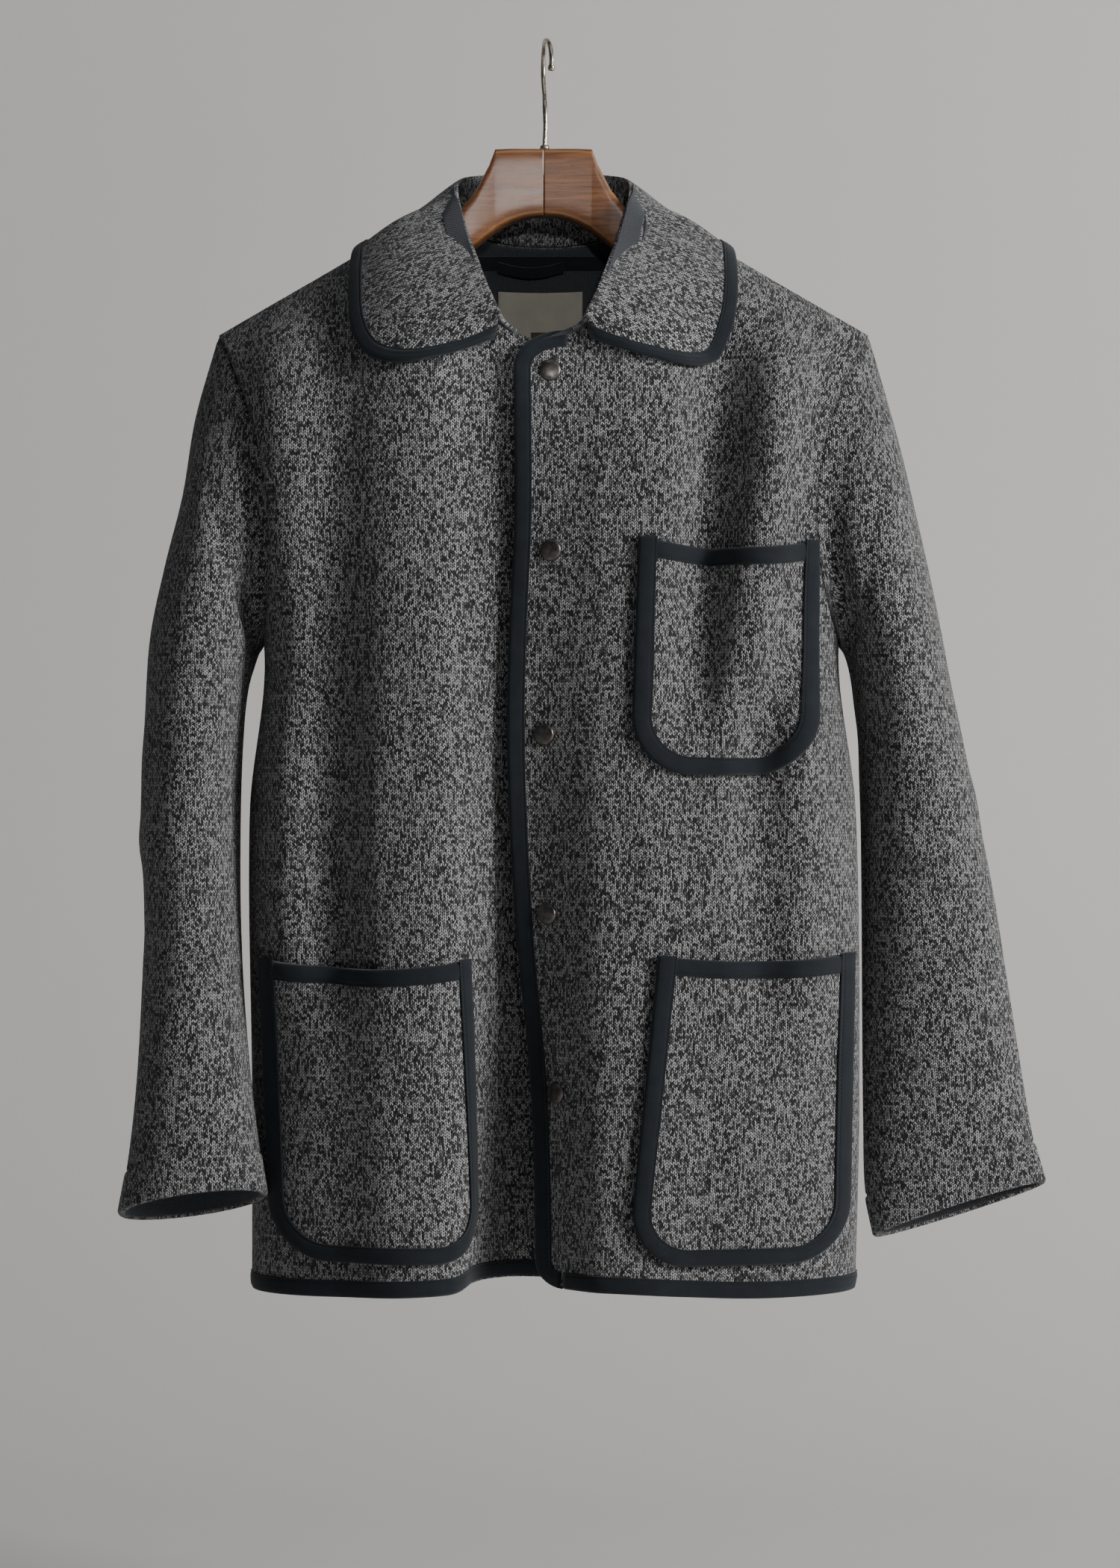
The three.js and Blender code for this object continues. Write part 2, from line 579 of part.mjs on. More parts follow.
/** Sleeve: rings from the armhole loop down to the cuff, on smooth curves at every angle. */
function sleeve(name) {
  const { side } = ARMHOLES[name];
  const table = SLEEVES[name];
  const down = HIGH_ROWS.map((t) => Math.PI * (1 - t)).reverse();
  const angles = [...down, ...down.slice(1, -1).reverse().map((a) => 2 * Math.PI - a)];
  const steps = 15;
  const start = V(side * SEAM_CLEAR, 0, 0);
  const curves = angles.map((angle) => {
    const isFront = angle <= Math.PI;
    const loop = armholePoint(name, isFront ? angle : 2 * Math.PI - angle, isFront).add(start);
    const rings = table.map((r) => {
      const middle = V((r.outX + r.inX) / 2, r.y, (r.outZ + r.inZ) / 2);
      const reach = V((r.outX - r.inX) / 2, 0, (r.outZ - r.inZ) / 2);
      return middle.addScaledVector(reach, Math.cos(angle)).add(V(0, -r.deep * Math.sin(angle), 0));
    });
    return new THREE.CatmullRomCurve3([loop, ...rings]);
  });
  const outer = range(steps + 1).map((i) => curves.map((c) => c.getPoint(i / steps)));
  const meanOf = (ring) => ring.reduce((sum, p) => sum.add(p), V(0, 0, 0)).divideScalar(ring.length);
  const middles = outer.map(meanOf);
  const fromMiddle = (p) => p.clone().sub(middles[outer.findIndex((ring) => ring.includes(p))]);
  const normals = gridNormals(outer, fromMiddle, true);
  const end = middles[steps];
  const inner = outer.map((ring, i) => {
    const left = middles[i].distanceTo(end);
    const thick = lerp(CUFF_WALL, WALL, smooth(left, CUFF_HEM - 3, CUFF_HEM + 4));
    return ring.map((p, j) => {
      if (i > 0) return p.clone().addScaledVector(normals[i][j], -thick);
      const top = angles[j] < 0.1 || angles[j] > 2 * Math.PI - 0.1;
      const foot = Math.abs(angles[j] - Math.PI) < 0.1;
      const into = top || foot ? V(0, 0, top ? -1 : 1) : armholeIn(name, p);
      return p.clone().addScaledVector(into, WALL);
    });
  });
  wall(`sleeve_${name}`, outer, inner, "knit", true);
}
sleeve("right");
sleeve("left");

/** Closed section of a tape on an edge: with wrap it goes on round the back, else it ends at the panel. */
function tapeSection({ edge, outwards, normal, foot }, wrap) {
  const over = (out, up) => edge.clone().addScaledVector(outwards, out).addScaledVector(normal, up);
  const inside = (up) =>
    foot
      ? bodyOut(foot.x - outwards.x * TAPE_WIDE, foot.z - outwards.z * TAPE_WIDE, foot.isFront, foot.out + up)
      : over(-TAPE_WIDE, up);
  const face = TAPE_OFF;
  const back = wrap ? -WALL - TAPE_OFF : -WALL;
  const outline = [inside(face + TAPE), over(TAPE_OFF + TAPE, face + TAPE)];
  if (wrap) outline.push(over(TAPE_OFF + TAPE, back - TAPE), inside(back - TAPE), inside(back));
  else outline.push(over(TAPE_OFF + TAPE, back));
  outline.push(over(TAPE_OFF, back), over(TAPE_OFF, face), inside(face));
  return outline;
}

/** Tape along the stations of an edge. */
function bindEdge(name, stations, wrap = true) {
  return sweep(name, stations.map((station) => tapeSection(station, wrap)), "tape");
}

/** Stations of an edge of a grid: the edge point, the way off the cloth and the cloth's normal. */
function edgeStations(grid, normals, line) {
  return line.map(([i, j, inI, inJ], k) => {
    const edge = grid[i][j].clone();
    const before = line[Math.max(0, k - 1)];
    const after = line[Math.min(line.length - 1, k + 1)];
    const run = grid[after[0]][after[1]].clone().sub(grid[before[0]][before[1]]).normalize();
    const atSide = Math.abs(edge.y) < 1;
    const foot = atSide ? null : grid[i][j].foot;
    const normal = foot ? bodyNormal(foot.x, foot.z, foot.isFront) : normals[i][j].clone();
    if (atSide) normal.set(Math.sign(edge.x), 0, 0);
    const outwards = run.clone().cross(normal).normalize();
    if (outwards.dot(edge.clone().sub(grid[inI][inJ])) < 0) outwards.negate();
    return { edge, outwards, normal, foot };
  });
}

/** Moves the ends of a run of stations along it, so that it parts from the tape that it meets. */
function trimEnds(stations, atStart, atEnd) {
  const shift = (station, next, by) => {
    const move = next.edge.clone().sub(station.edge).setLength(by);
    station.edge.add(move);
    const { foot } = station;
    if (foot) station.foot = { ...foot, x: foot.x + move.x, z: foot.z + move.z };
  };
  shift(stations[0], stations[1], atStart);
  shift(stations.at(-1), stations.at(-2), atEnd);
  return stations;
}

const outOf = (isFront) => (p) => V(Math.sign(p.x) * 0.6, isFront ? -1 : 1, 0.3);
const leftNormals = gridNormals(leftGrid, outOf(true));
const rightNormals = gridNormals(rightGrid, outOf(true));
const backNormals = gridNormals(backGrid, outOf(false));
const edgeColumn = range(leftGrid.length).map((i) => [i, FRONT_COLUMNS, i, FRONT_COLUMNS - 1]);
const hemRow = (columns) => range(columns + 1).map((j) => [0, j, 1, j]);

const leftEdge = edgeStations(leftGrid, leftNormals, edgeColumn);
const rightEdge = edgeStations(rightGrid, rightNormals, edgeColumn);
const leftHem = edgeStations(leftGrid, leftNormals, hemRow(FRONT_COLUMNS));
const rightHem = edgeStations(rightGrid, rightNormals, hemRow(FRONT_COLUMNS));
const backHem = edgeStations(backGrid, backNormals, hemRow(2 * BACK_COLUMNS));
bindEdge("front_edge_binding_left", trimEnds(leftEdge, 1, 4));
bindEdge("hem_binding_left", trimEnds(leftHem, 0.7, 1));
bindEdge("front_edge_binding_right", trimEnds(rightEdge, 2.2, 4));
bindEdge("hem_binding_right", trimEnds(rightHem, 0.7, TAPE_WIDE + 1));
bindEdge("hem_binding_back", trimEnds(backHem, 0.7, 0.7));

/** Patch on the front or inside the back: rows run down, and its face lies off the body's face. */
function patchGrid(place, rows, columns, isFront, out) {
  return range(rows + 1).map((i) =>
    range(columns + 1).map((j) => {
      const { x, z } = place(j / columns, i / rows);
      return bodyOut(x, z, isFront, out);
    }),
  );
}

const POCKET_OFF = 1.3;
/** Place on a patch pocket: the top edge sags, and the lower corners are quarter circles. */
function pocketPlace(p) {
  return (s, t) => {
    const roundShare = p.round / (p.topZ - p.lowZ);
    const straight = 0.6; // of the rows lie above the round corners
    const turn = ((t - straight) / (1 - straight)) * (Math.PI / 2);
    const down = t < straight ? (t / straight) * (1 - roundShare) : 1 - roundShare * Math.cos(turn);
    const z = lerp(p.topZ, p.lowZ, down);
    const u = clamp((p.lowZ + p.round - z) / p.round, 0, 1);
    const inset = p.round * (1 - Math.sqrt(1 - u * u));
    const left = lerp(p.topLeft, p.lowLeft, down);
    const right = lerp(p.topRight, p.lowRight, down);
    const x = lerp(left, right, s) + inset * ((1 - s) ** 2 - s ** 2);
    return { x, z: z - p.sag * Math.sin(Math.PI * s) * (1 - down) ** 2 };
  };
}
for (const [name, p] of Object.entries(POCKETS)) {
  const place = pocketPlace(p);
  const rows = 11;
  const columns = 9;
  const outer = patchGrid(place, rows, columns, true, POCKET_OFF + WALL);
  const inner = patchGrid(place, rows, columns, true, POCKET_OFF);
  wall(name, outer, inner, "knit");
  const normals = gridNormals(outer, outOf(true));
  const down = range(rows + 1).map((i) => [i, 0, i, 1]);
  const across = range(columns - 1).map((j) => [rows, j + 1, rows - 1, j + 1]);
  const up = range(rows + 1).map((i) => [rows - i, columns, rows - i, columns - 1]);
  const round = edgeStations(outer, normals, [...down, ...across, ...up]);
  const top = edgeStations(outer, normals, range(columns + 1).map((j) => [0, j, 1, j]));
  bindEdge(`${name}_binding`, round, false);
  bindEdge(`${name}_top_binding`, trimEnds(top, TAPE_WIDE + 1.6, TAPE_WIDE + 1.6), false);
  const front = p.topLeft < 0 ? "front_right" : "front_left";
  fitTo(name, front);
  fitTo(`${name}_binding`, front, name);
  fitTo(`${name}_top_binding`, front, name);
}
for (const side of ["left", "right"]) {
  fitTo(`front_edge_binding_${side}`, "front_left", "front_right");
  fitTo(`hem_binding_${side}`, "front_left", "front_right", "back");
}
fitTo("hem_binding_back", "back", "front_left", "front_right");

const COLLAR_LIFT = WALL + TAPE_OFF + TAPE + 1; // of the leaf's face over the body
/** Curve of the collar's cloth: from the neck seam up to the roll line and down to the leaf's edge. */
function collarColumn(angleDegrees, side) {
  const isFront = angleDegrees < 0;
  const value = (column) => along(COLLAR, "seam", column, angleDegrees);
  const seamAngle = radians(Math.abs(angleDegrees));
  const lowZ = isFront ? NECK_FRONT_Z : NECK_BACK_Z;
  const seamX = side * NECK_HALF * Math.cos(seamAngle);
  const seamZ = SHOULDER_NECK_Z - (SHOULDER_NECK_Z - lowZ) * Math.sin(seamAngle);
  const foot = bodyOut(seamX, seamZ, isFront, 1.6);
  const inwards = V(-Math.sign(seamX) * Math.min(3.4, Math.abs(seamX)), 0, 0);
  const backwards = V(0, isFront ? 2.4 : -2.4, 1.2).multiplyScalar(Math.sin(seamAngle));
  const seam = foot.clone().add(inwards).add(backwards);
  if (Math.abs(angleDegrees) < 1) seam.y = 0;
  const roll = V(side * value("rollX"), value("rollY"), value("rollZ"));
  const stand = seam.clone().lerp(roll, 0.5);
  const rest = (x, z, lift) => bodyOut(x, z, isFront, lift);
  const leaf = rest(side * value("leafX"), value("leafZ"), COLLAR_LIFT);
  const half = roll.clone().lerp(leaf, 0.55);
  const under = rest(half.x, Math.min(half.z, shoulderZ(half.x) - 0.5), COLLAR_LIFT + 1.5);
  half.y = isFront ? Math.min(half.y, under.y) : Math.max(half.y, under.y);
  half.z = Math.max(half.z, under.z) + 1;
  return new THREE.CatmullRomCurve3([seam, stand, roll, half, leaf]);
}
const collarAngles = [-74, -69, -63, -57, -51, -45, -38, -29, -18, -6, 6, 20, 38, 56, 73, 90];
const collarCurves = [
  ...collarAngles.map((a) => collarColumn(a, 1)),
  ...collarAngles.slice(0, -1).reverse().map((a) => collarColumn(a, -1)),
];
const collarRows = 9;
const collarOuter = range(collarRows + 1).map((i) => collarCurves.map((c) => c.getPoint(i / collarRows)));
const collarNormals = collarOuter.map((row, i) =>
  row.map((p, j) => {
    const du = row[clamp(j + 1, 0, row.length - 1)].clone().sub(row[clamp(j - 1, 0, row.length - 1)]);
    const below = collarOuter[clamp(i + 1, 0, collarRows)][j];
    const dv = below.clone().sub(collarOuter[clamp(i - 1, 0, collarRows)][j]);
    return dv.cross(du).normalize();
  }),
);
const facing = collarNormals[collarRows - 3][9].y > 0 ? -1 : 1;
for (const row of collarNormals) for (const n of row) n.multiplyScalar(facing);
const collarInner = collarOuter.map((row, i) =>
  row.map((p, j) => p.clone().addScaledVector(collarNormals[i][j], -WALL)),
);
wall("collar", collarOuter, collarInner, "knit");
const leafEdge = range(collarCurves.length).map((j) => [collarRows, j, collarRows - 1, j]);
const leafStations = edgeStations(collarOuter, collarNormals, leafEdge).map((s) => ({ ...s, foot: null }));
bindEdge("collar_binding", trimEnds(leafStations, 0.5, 0.5));

fitTo("collar", "front_left", "front_right", "back");
fitTo("collar_binding", "collar", "front_left", "front_right", "back");

/** Small flat piece on the inner face of the back: its face lies off the body's face by a distance. */
function insideBack(name, left, right, top, low, off, thick, material, columns = 4, sag = 0) {
  const place = (s, t) => ({ x: lerp(left, right, s), z: lerp(top, low, t) - sag * Math.sin(Math.PI * s) });
  const outer = patchGrid(place, 2, columns, false, -off);
  const inner = patchGrid(place, 2, columns, false, -off - thick);
  return wall(name, outer, inner, material);
}
insideBack("neck_tape", -52, 52, -143, -152, WALL + 0.8, TAPE, "tape", 10);
insideBack("hang_loop", -33, 14, -146, -153, WALL + 0.8 + TAPE + 0.5, 1.4, "tape", 6, 3);
insideBack("label", -32.7, 27.6, -167, -199.5, WALL + 0.8, 0.8, "label", 4);
insideBack("size_tab", -9.4, 1.9, -195, -206, WALL + 0.8 + 0.8 + 0.5, 0.7, "label", 1);

/** Turned piece with its axis along a direction, from a profile of radius and height. */
function turned(name, profile, at, axis, material, segments = 14) {
  const points = profile.map(([radius, height]) => new THREE.Vector2(radius, height));
  const geometry = new THREE.LatheGeometry(points, segments);
  geometry.deleteAttribute("normal");
  geometry.deleteAttribute("uv");
  const turn = new THREE.Quaternion().setFromUnitVectors(V(0, 1, 0), axis.clone().normalize());
  geometry.applyQuaternion(turn).translate(at.x, at.y, at.z);
  const merged = mergeVertices(geometry, 1e-4);
  return solid(name, [...merged.attributes.position.array], [...merged.index.array], material);
}

// Snaps: a cap with its post on the left front, and the other half between the two fronts
SNAPS.forEach(({ x, z }, k) => {
  const face = bodyPoint(x, z, true);
  const axis = bodyNormal(x, z, true);
  const rim = [[SNAP_RADIUS - 0.3, 2], [SNAP_RADIUS, 2.9], [SNAP_RADIUS - 1.2, 3.9]];
  const cap = [[0, 0.4], [2.4, 0.4], [2.4, 2], ...rim, [0, 4.6]];
  turned(`snap_cap_${k + 1}`, cap, face, axis, "metal");
  const between = (LAP + WALL) / 2;
  const stud = [[0, -between - 1.9], [4, -between - 1.9], [4, -between + 1.9], [0, -between + 1.9]];
  turned(`snap_stud_${k + 1}`, stud, face, axis, "metal", 8);
  fitTo(`snap_cap_${k + 1}`, "front_left");
  fitTo(`snap_stud_${k + 1}`, "front_left", "front_right");
});

/** One half of the hanger: rounded sections from the centre seam out to the tip. */
function hangerHalf(name, side) {
  const count = 16;
  const rings = HANGER.map((h) => {
    const high = (h.top - h.low) / 2;
    const power = lerp(0.32, 0.8, smooth(h.x, 30, 110));
    const x = side * Math.max(h.x, HANGER_GAP / 2);
    return range(count).map((i) => {
      const angle = ((i + 0.5) / count) * 2 * Math.PI;
      const c = Math.cos(angle);
      const s = Math.sin(angle);
      const y = h.deep * Math.sign(c) * Math.abs(c) ** power;
      return V(x, y, (h.top + h.low) / 2 + high * Math.sign(s) * Math.abs(s) ** power);
    });
  });
  return sweep(name, rings, "wood");
}
hangerHalf("hanger_left", 1);
hangerHalf("hanger_right", -1);
for (const side of ["left", "right"]) fitTo(`hanger_${side}`, `front_${side}`, "back");

const ferrule = [[0, 0.4], [3.4, 0.4], [3.4, 2.6], [2.4, 3.6], [0, 3.6]];
turned("ferrule", ferrule, V(0.8, 0, HANGER[0].top), V(0, 0, 1), "metal", 16);

/** Wire hook: straight stem, then a round hook in a plane that is turned almost edge-on to the front. */
function hook() {
  const radius = 18;
  const middle = V(1.2, 0, HOOK_WIRE / 2 - radius);
  const stem = [V(0.8, 0, HANGER[0].top + 4), V(1.4, 0, -58), V(0.9, 2, -44), V(0.6, 9, -35)];
  const bow = range(10).map((i) => {
    const angle = radians(lerp(-40, 200, i / 9));
    const aside = Math.cos(angle) > 0 ? 1.5 : 4.5;
    const offset = V(-aside * Math.cos(angle), radius * Math.cos(angle), radius * Math.sin(angle));
    return middle.clone().add(offset);
  });
  const path = new THREE.CatmullRomCurve3([...stem, ...bow]);
  const shape = new THREE.Shape();
  const sides = 8;
  for (let i = 0; i < sides; i++) {
    const angle = (i / sides) * 2 * Math.PI;
    const method = i === 0 ? "moveTo" : "lineTo";
    shape[method]((HOOK_WIRE / 2) * Math.cos(angle), (HOOK_WIRE / 2) * Math.sin(angle));
  }
  shape.closePath();
  const geometry = new THREE.ExtrudeGeometry(shape, { steps: 34, extrudePath: path, bevelEnabled: false });
  geometry.deleteAttribute("normal");
  geometry.deleteAttribute("uv");
  const merged = mergeVertices(geometry, 1e-4);
  solid("hook", [...merged.attributes.position.array], [...merged.index.array], "metal");
}
hook();

export default jacket;
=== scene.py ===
"""Chore jacket of thick marled knit on a wooden hanger: its looks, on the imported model's frame.

Sizes are in millimetres, as on a pattern, and become metres where a mesh is made. The jacket's front
faces -Y, +X is the wearer's left and +Z is up. The origin is where the hook is held.
"""
import json
import math

import bpy
import numpy as np
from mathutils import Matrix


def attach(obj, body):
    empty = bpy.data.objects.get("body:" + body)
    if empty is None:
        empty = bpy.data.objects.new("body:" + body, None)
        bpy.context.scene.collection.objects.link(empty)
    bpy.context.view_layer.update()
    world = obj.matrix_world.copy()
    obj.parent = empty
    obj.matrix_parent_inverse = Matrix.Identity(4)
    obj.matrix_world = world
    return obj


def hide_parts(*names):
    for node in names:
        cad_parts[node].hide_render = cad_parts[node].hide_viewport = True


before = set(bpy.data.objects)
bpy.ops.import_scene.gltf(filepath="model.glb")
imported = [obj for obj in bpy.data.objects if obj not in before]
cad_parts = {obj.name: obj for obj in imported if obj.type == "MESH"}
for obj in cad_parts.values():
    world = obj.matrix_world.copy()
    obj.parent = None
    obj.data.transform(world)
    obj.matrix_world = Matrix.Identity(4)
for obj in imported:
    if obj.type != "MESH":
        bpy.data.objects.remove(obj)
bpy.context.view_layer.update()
MM = 0.001

# Cloth
WALL = 3.0
TAPE = 1.1
TAPE_WIDE = 10.0
TAPE_OFF = 0.45
POCKET_OFF = 0.9

# Body of the jacket
ARMPIT_Z = -424.0
ARMHOLE_TOP_Z = -206.0
SHOULDER_NECK_Z = -114.0
SHOULDER_FALL = 0.58
SHOULDER_ROUND = 195.0
NECK_HALF = 72.0
NECK_FRONT_Z = -214.0
NECK_BACK_Z = -139.0
SIDE_POWER = 2.67
FRONT_EDGE_UNDER_X = 24.0
LAP = 8.6

# Sections of the body: height, middle, half width, depth of the front and of the back
SECTIONS = np.array([
    [-880, 7.0, 211.5, 92, 88],
    [-740, 8.5, 213.0, 95, 90],
    [-541, 6.5, 212.5, 95, 90],
    [-424, 5.5, 201.5, 93, 89],
    [-316, 2.0, 226.0, 90, 86],
    [-205, 0.0, 262.0, 88, 82],
    [-100, 0.0, 266.0, 86, 78],
])
MIDDLE, HALF, FRONT_DEEP, BACK_DEEP = 1, 2, 3, 4

# Bound edge of the left front: height and place
FRONT_EDGE = np.array([
    [-875, -4.0], [-787, -5.0], [-720, -8.0], [-620, -17.0],
    [-500, -22.5], [-420, -21.5], [-340, -18.0], [-214, -18.5],
])

# Folds: height of the top, place there, height of the foot, place there, half width, and how far
# each stands out at the top and at the foot
FRONT_FOLDS = [
    (-250, -92, -860, -96, 32, 8, 11),
    (-250, -186, -600, -188, 24, 11, 18),
    (-300, -141, -620, -140, 18, -3, -9),
    (-236, 167, -440, 142, 18, 18, 12),
    (-236, 120, -440, 101, 19, -19, -13),
    (-480, 184, -660, 184, 17, 12, 7),
    (-480, 146, -660, 146, 16, -10, -6),
    (-240, 64, -860, 68, 32, 6, 7),
]
BACK_FOLDS = [
    (-330, -60, -860, -78, 40, 2, 10),
    (-330, 66, -860, 84, 44, 2, 11),
    (-360, 4, -860, 2, 34, -2, -8),
    (-420, -140, -860, -150, 30, -1, -6),
    (-420, 146, -860, 156, 30, -1, -6),
]
# Groove where the fronts roll back at the centre: top, foot, depth, place, half width left and right
GROOVE = dict(top=-240.0, foot=-880.0, deep=48.0, x=-17.0, left=46.0, right=60.0)

# Armhole loops: side, and how far out the loop is at the top, half way and at the armpit
ARMHOLES = dict(left=(1, 228.0, 189.0, 207.0), right=(-1, 228.0, 191.0, 196.0))

# Sleeve rings: outermost X and Z, innermost X and Z, and the ring's middle and half depth in Y
SLEEVES = dict(
    right=[
        (-244, -262, -198.5, -427, 0, 60), (-253, -318, -200.5, -431, -4, 64),
        (-265, -368, -203, -440, -9, 65), (-275, -420, -206, -455, -15, 63),
        (-278, -478, -209.5, -488, -22, 60), (-281, -534, -211, -540, -28, 58),
        (-277, -605, -210.5, -600, -37, 52), (-278, -668, -207.5, -662, -46, 47),
        (-281, -730, -202, -722, -54, 43), (-286, -780, -196, -768, -60, 40),
        (-292, -815, -190.6, -801, -63, 37),
    ],
    left=[
        (247, -272, 209.5, -427, 0, 60), (262, -333, 212, -431, 3, 63),
        (274, -385, 215, -440, 7, 63), (285, -438, 218, -456, 12, 61),
        (296, -490, 221.5, -490, 16, 57), (308, -547, 224, -540, 20, 51),
        (319, -602, 225, -600, 22, 45), (331, -678, 225.5, -690, 22, 38),
        (341, -742, 226, -760, 20, 30), (347, -775, 227, -805, 18, 25),
        (354, -800, 233, -838, 16, 19),
    ],
)
CUFF_HEM = 27.0
CUFF_WALL = 5.6

# Collar stations: degrees round the neck seam (front negative), roll line X, Y, Z, leaf edge X, Z
COLLAR = np.array([
    [-74, 29, -96, -204, 33, -217],
    [-69, 31, -95, -198, 50, -223],
    [-62, 35, -91, -190, 71, -229],
    [-55, 40, -85, -180, 96, -233],
    [-47, 44, -78, -170, 117, -227],
    [-38, 48, -68, -158, 128, -210],
    [-27, 53, -53, -143, 131, -187],
    [-14, 58, -33, -124, 131, -166],
    [0, 62, -10, -105, 129, -149],
    [25, 59, 18, -93, 118, -158],
    [50, 45, 42, -87, 88, -164],
    [70, 24, 54, -84.5, 46, -168],
    [90, 0, 58, -84, 0, -170],
])

# Patch pockets: top, sag of the top edge, foot, left and right at the top and at the foot, corner radius
POCKETS = dict(
    chest_pocket=(-355, 7, -513, 66.5, 186.5, 61, 185, 40),
    lower_pocket_left=(-640, 4, -848, 79.5, 211, 59, 207, 40),
    lower_pocket_right=(-643, 6, -846, -192, -48, -184, -34, 40),
)

SNAPS = [(5, -238), (5.5, -361), (1, -487), (3, -610), (9, -733)]
SNAP_RADIUS = 7.5

# Hanger: sections of one half from the middle out: X, top, foot, half depth
HANGER = np.array([
    [0, -75, -122, 11], [12, -75, -123, 11.5], [24, -75, -127, 12], [34, -75.5, -133, 12.5],
    [38, -86, -136, 13], [47, -104, -143, 14], [59, -118, -151, 15], [80, -126, -163, 16],
    [120, -148.5, -185, 15.5], [165, -174.5, -210, 15.5], [205, -199, -231, 14], [214, -206, -229, 9],
])


# Hook's wire, how far each pocket's mouth stands open, the left front's corners (the neck's width and
# height, the hem's radius), and how far each cuff tilts
HOOK_WIRE = 3.5
POCKET_OPEN = dict(chest_pocket=4.0, lower_pocket_left=3.0, lower_pocket_right=3.0)
LEFT_CORNERS = (34.0, 24.0, 16.0)
CUFF_TILT = dict(left=6.0, right=11.0)

# Sleeve creases: degrees round from the outer side, height over the cuff, half width in degrees, half
# height, how far out, and how far the crease climbs for each degree
SLEEVE_CREASES = dict(
    right=[
        (60, 300, 70, 34, -2.2, 0.5), (20, 250, 60, 22, 1.6, -0.4), (100, 360, 60, 30, 1.6, -0.6),
        (140, 430, 50, 40, -2.4, 0.9), (330, 280, 70, 30, -2.0, 0.3), (80, 120, 70, 30, 1.5, 0.5),
        (45, 170, 60, 20, -1.2, -0.5), (250, 260, 70, 36, 2.5, 0.4), (230, 330, 70, 30, -2.5, -0.4),
        (110, 200, 50, 26, 1.4, 0.7), (95, 60, 60, 24, -1.4, 0.2),
    ],
    left=[
        (60, 330, 70, 36, -2.0, -0.5), (110, 260, 60, 24, 2.2, 0.7), (95, 225, 60, 20, -2.2, 0.7),
        (140, 430, 50, 40, -2.6, 0.9), (30, 280, 70, 30, 1.5, 0.4), (80, 130, 70, 30, 1.6, -0.5),
        (120, 160, 60, 26, -1.6, 0.6), (250, 260, 70, 36, 2.5, 0.4), (230, 330, 70, 30, -2.5, -0.4),
        (60, 75, 60, 24, 1.4, 0.3),
    ],
)


# Shader maths

class Value:
    """A socket in shader maths: an operator on it adds a Math node."""

    def __init__(self, shade, socket):
        self.shade, self.socket = shade, socket

    def __add__(self, other): return self.shade.math("ADD", self, other)
    def __radd__(self, other): return self.shade.math("ADD", other, self)
    def __sub__(self, other): return self.shade.math("SUBTRACT", self, other)
    def __rsub__(self, other): return self.shade.math("SUBTRACT", other, self)
    def __mul__(self, other): return self.shade.math("MULTIPLY", self, other)
    def __rmul__(self, other): return self.shade.math("MULTIPLY", other, self)
    def __truediv__(self, other): return self.shade.math("DIVIDE", self, other)
    def __neg__(self): return self.shade.math("MULTIPLY", self, -1.0)
    def __pow__(self, other): return self.shade.math("POWER", self, other)


class Shade:
    """One material with a Principled shader."""

    def __init__(self, name, **constants):
        self.material = bpy.data.materials.new(name)
        self.material.use_nodes = True
        self.tree = self.material.node_tree
        self.shader = self.tree.nodes["Principled BSDF"]
        for key, value in constants.items():
            self.shader.inputs[key.replace("_", " ")].default_value = value

    def node(self, kind, sockets=(), output=0, stops=None, **settings):
        """Adds a node: its settings come first, then the values or links of its sockets."""
        made = self.tree.nodes.new("ShaderNode" + kind)
        for key, value in settings.items():
            setattr(made, key, value)
        if stops:
            ramp = made.color_ramp.elements
            for k, (at, colour) in enumerate(stops):
                stop = ramp[k] if k < 2 else ramp.new(at)
                stop.position, stop.color = at, (*colour, 1)
        for key, value in dict(sockets).items():
            if isinstance(value, Value):
                self.tree.links.new(value.socket, made.inputs[key])
            else:
                made.inputs[key].default_value = value
        return Value(self, made.outputs[output])

    def math(self, operation, a, b=0.0, c=0.0):
        return self.node("Math", {0: a, 1: b, 2: c}, operation=operation)

    def noise(self, vector, scale, detail=2.0, rough=0.5, dimensions="3D"):
        sockets = {"Vector": vector, "Scale": scale, "Detail": detail, "Roughness": rough}
        return self.node("TexNoise", sockets, noise_dimensions=dimensions)

    def step(self, value, low, high):
        """0 below low, 1 above high, and smooth between."""
        sockets = {"Value": value, "From Min": low, "From Max": high}
        return self.node("MapRange", sockets, interpolation_type="SMOOTHSTEP")

    def vector(self, x, y, z=0.0):
        return self.node("CombineXYZ", {0: x, 1: y, 2: z})

    def mix(self, share, a, b):
        """Colour between two colours."""
        a, b = ((*x, 1.0) if isinstance(x, tuple) else x for x in (a, b))
        return self.node("Mix", {0: share, 6: a, 7: b}, output=2, data_type="RGBA")

    def scaled(self, colour, by):
        """Colour times a number."""
        return self.node("VectorMath", {0: colour, "Scale": by}, operation="SCALE")

    def field(self, name):
        return self.node("Attribute", output=2, attribute_name=name)

    def cloth_place(self):
        """Place on the flat cloth in millimetres."""
        uv = self.node("UVMap", uv_map="cloth")
        return self.node("SeparateXYZ", {0: uv}), self.node("SeparateXYZ", {0: uv}, output=1), uv

    def set(self, name, value):
        self.tree.links.new(value.socket, self.shader.inputs[name])

    def bump(self, height, distance, strength=1.0):
        self.set("Normal", self.node("Bump", {"Height": height, "Distance": distance, "Strength": strength}))


# Knit: width of a wale and height of a course; tape: row of stitches from its sewn edge
WALE = 2.65
COURSE = 1.95
STITCH_IN = 2.3


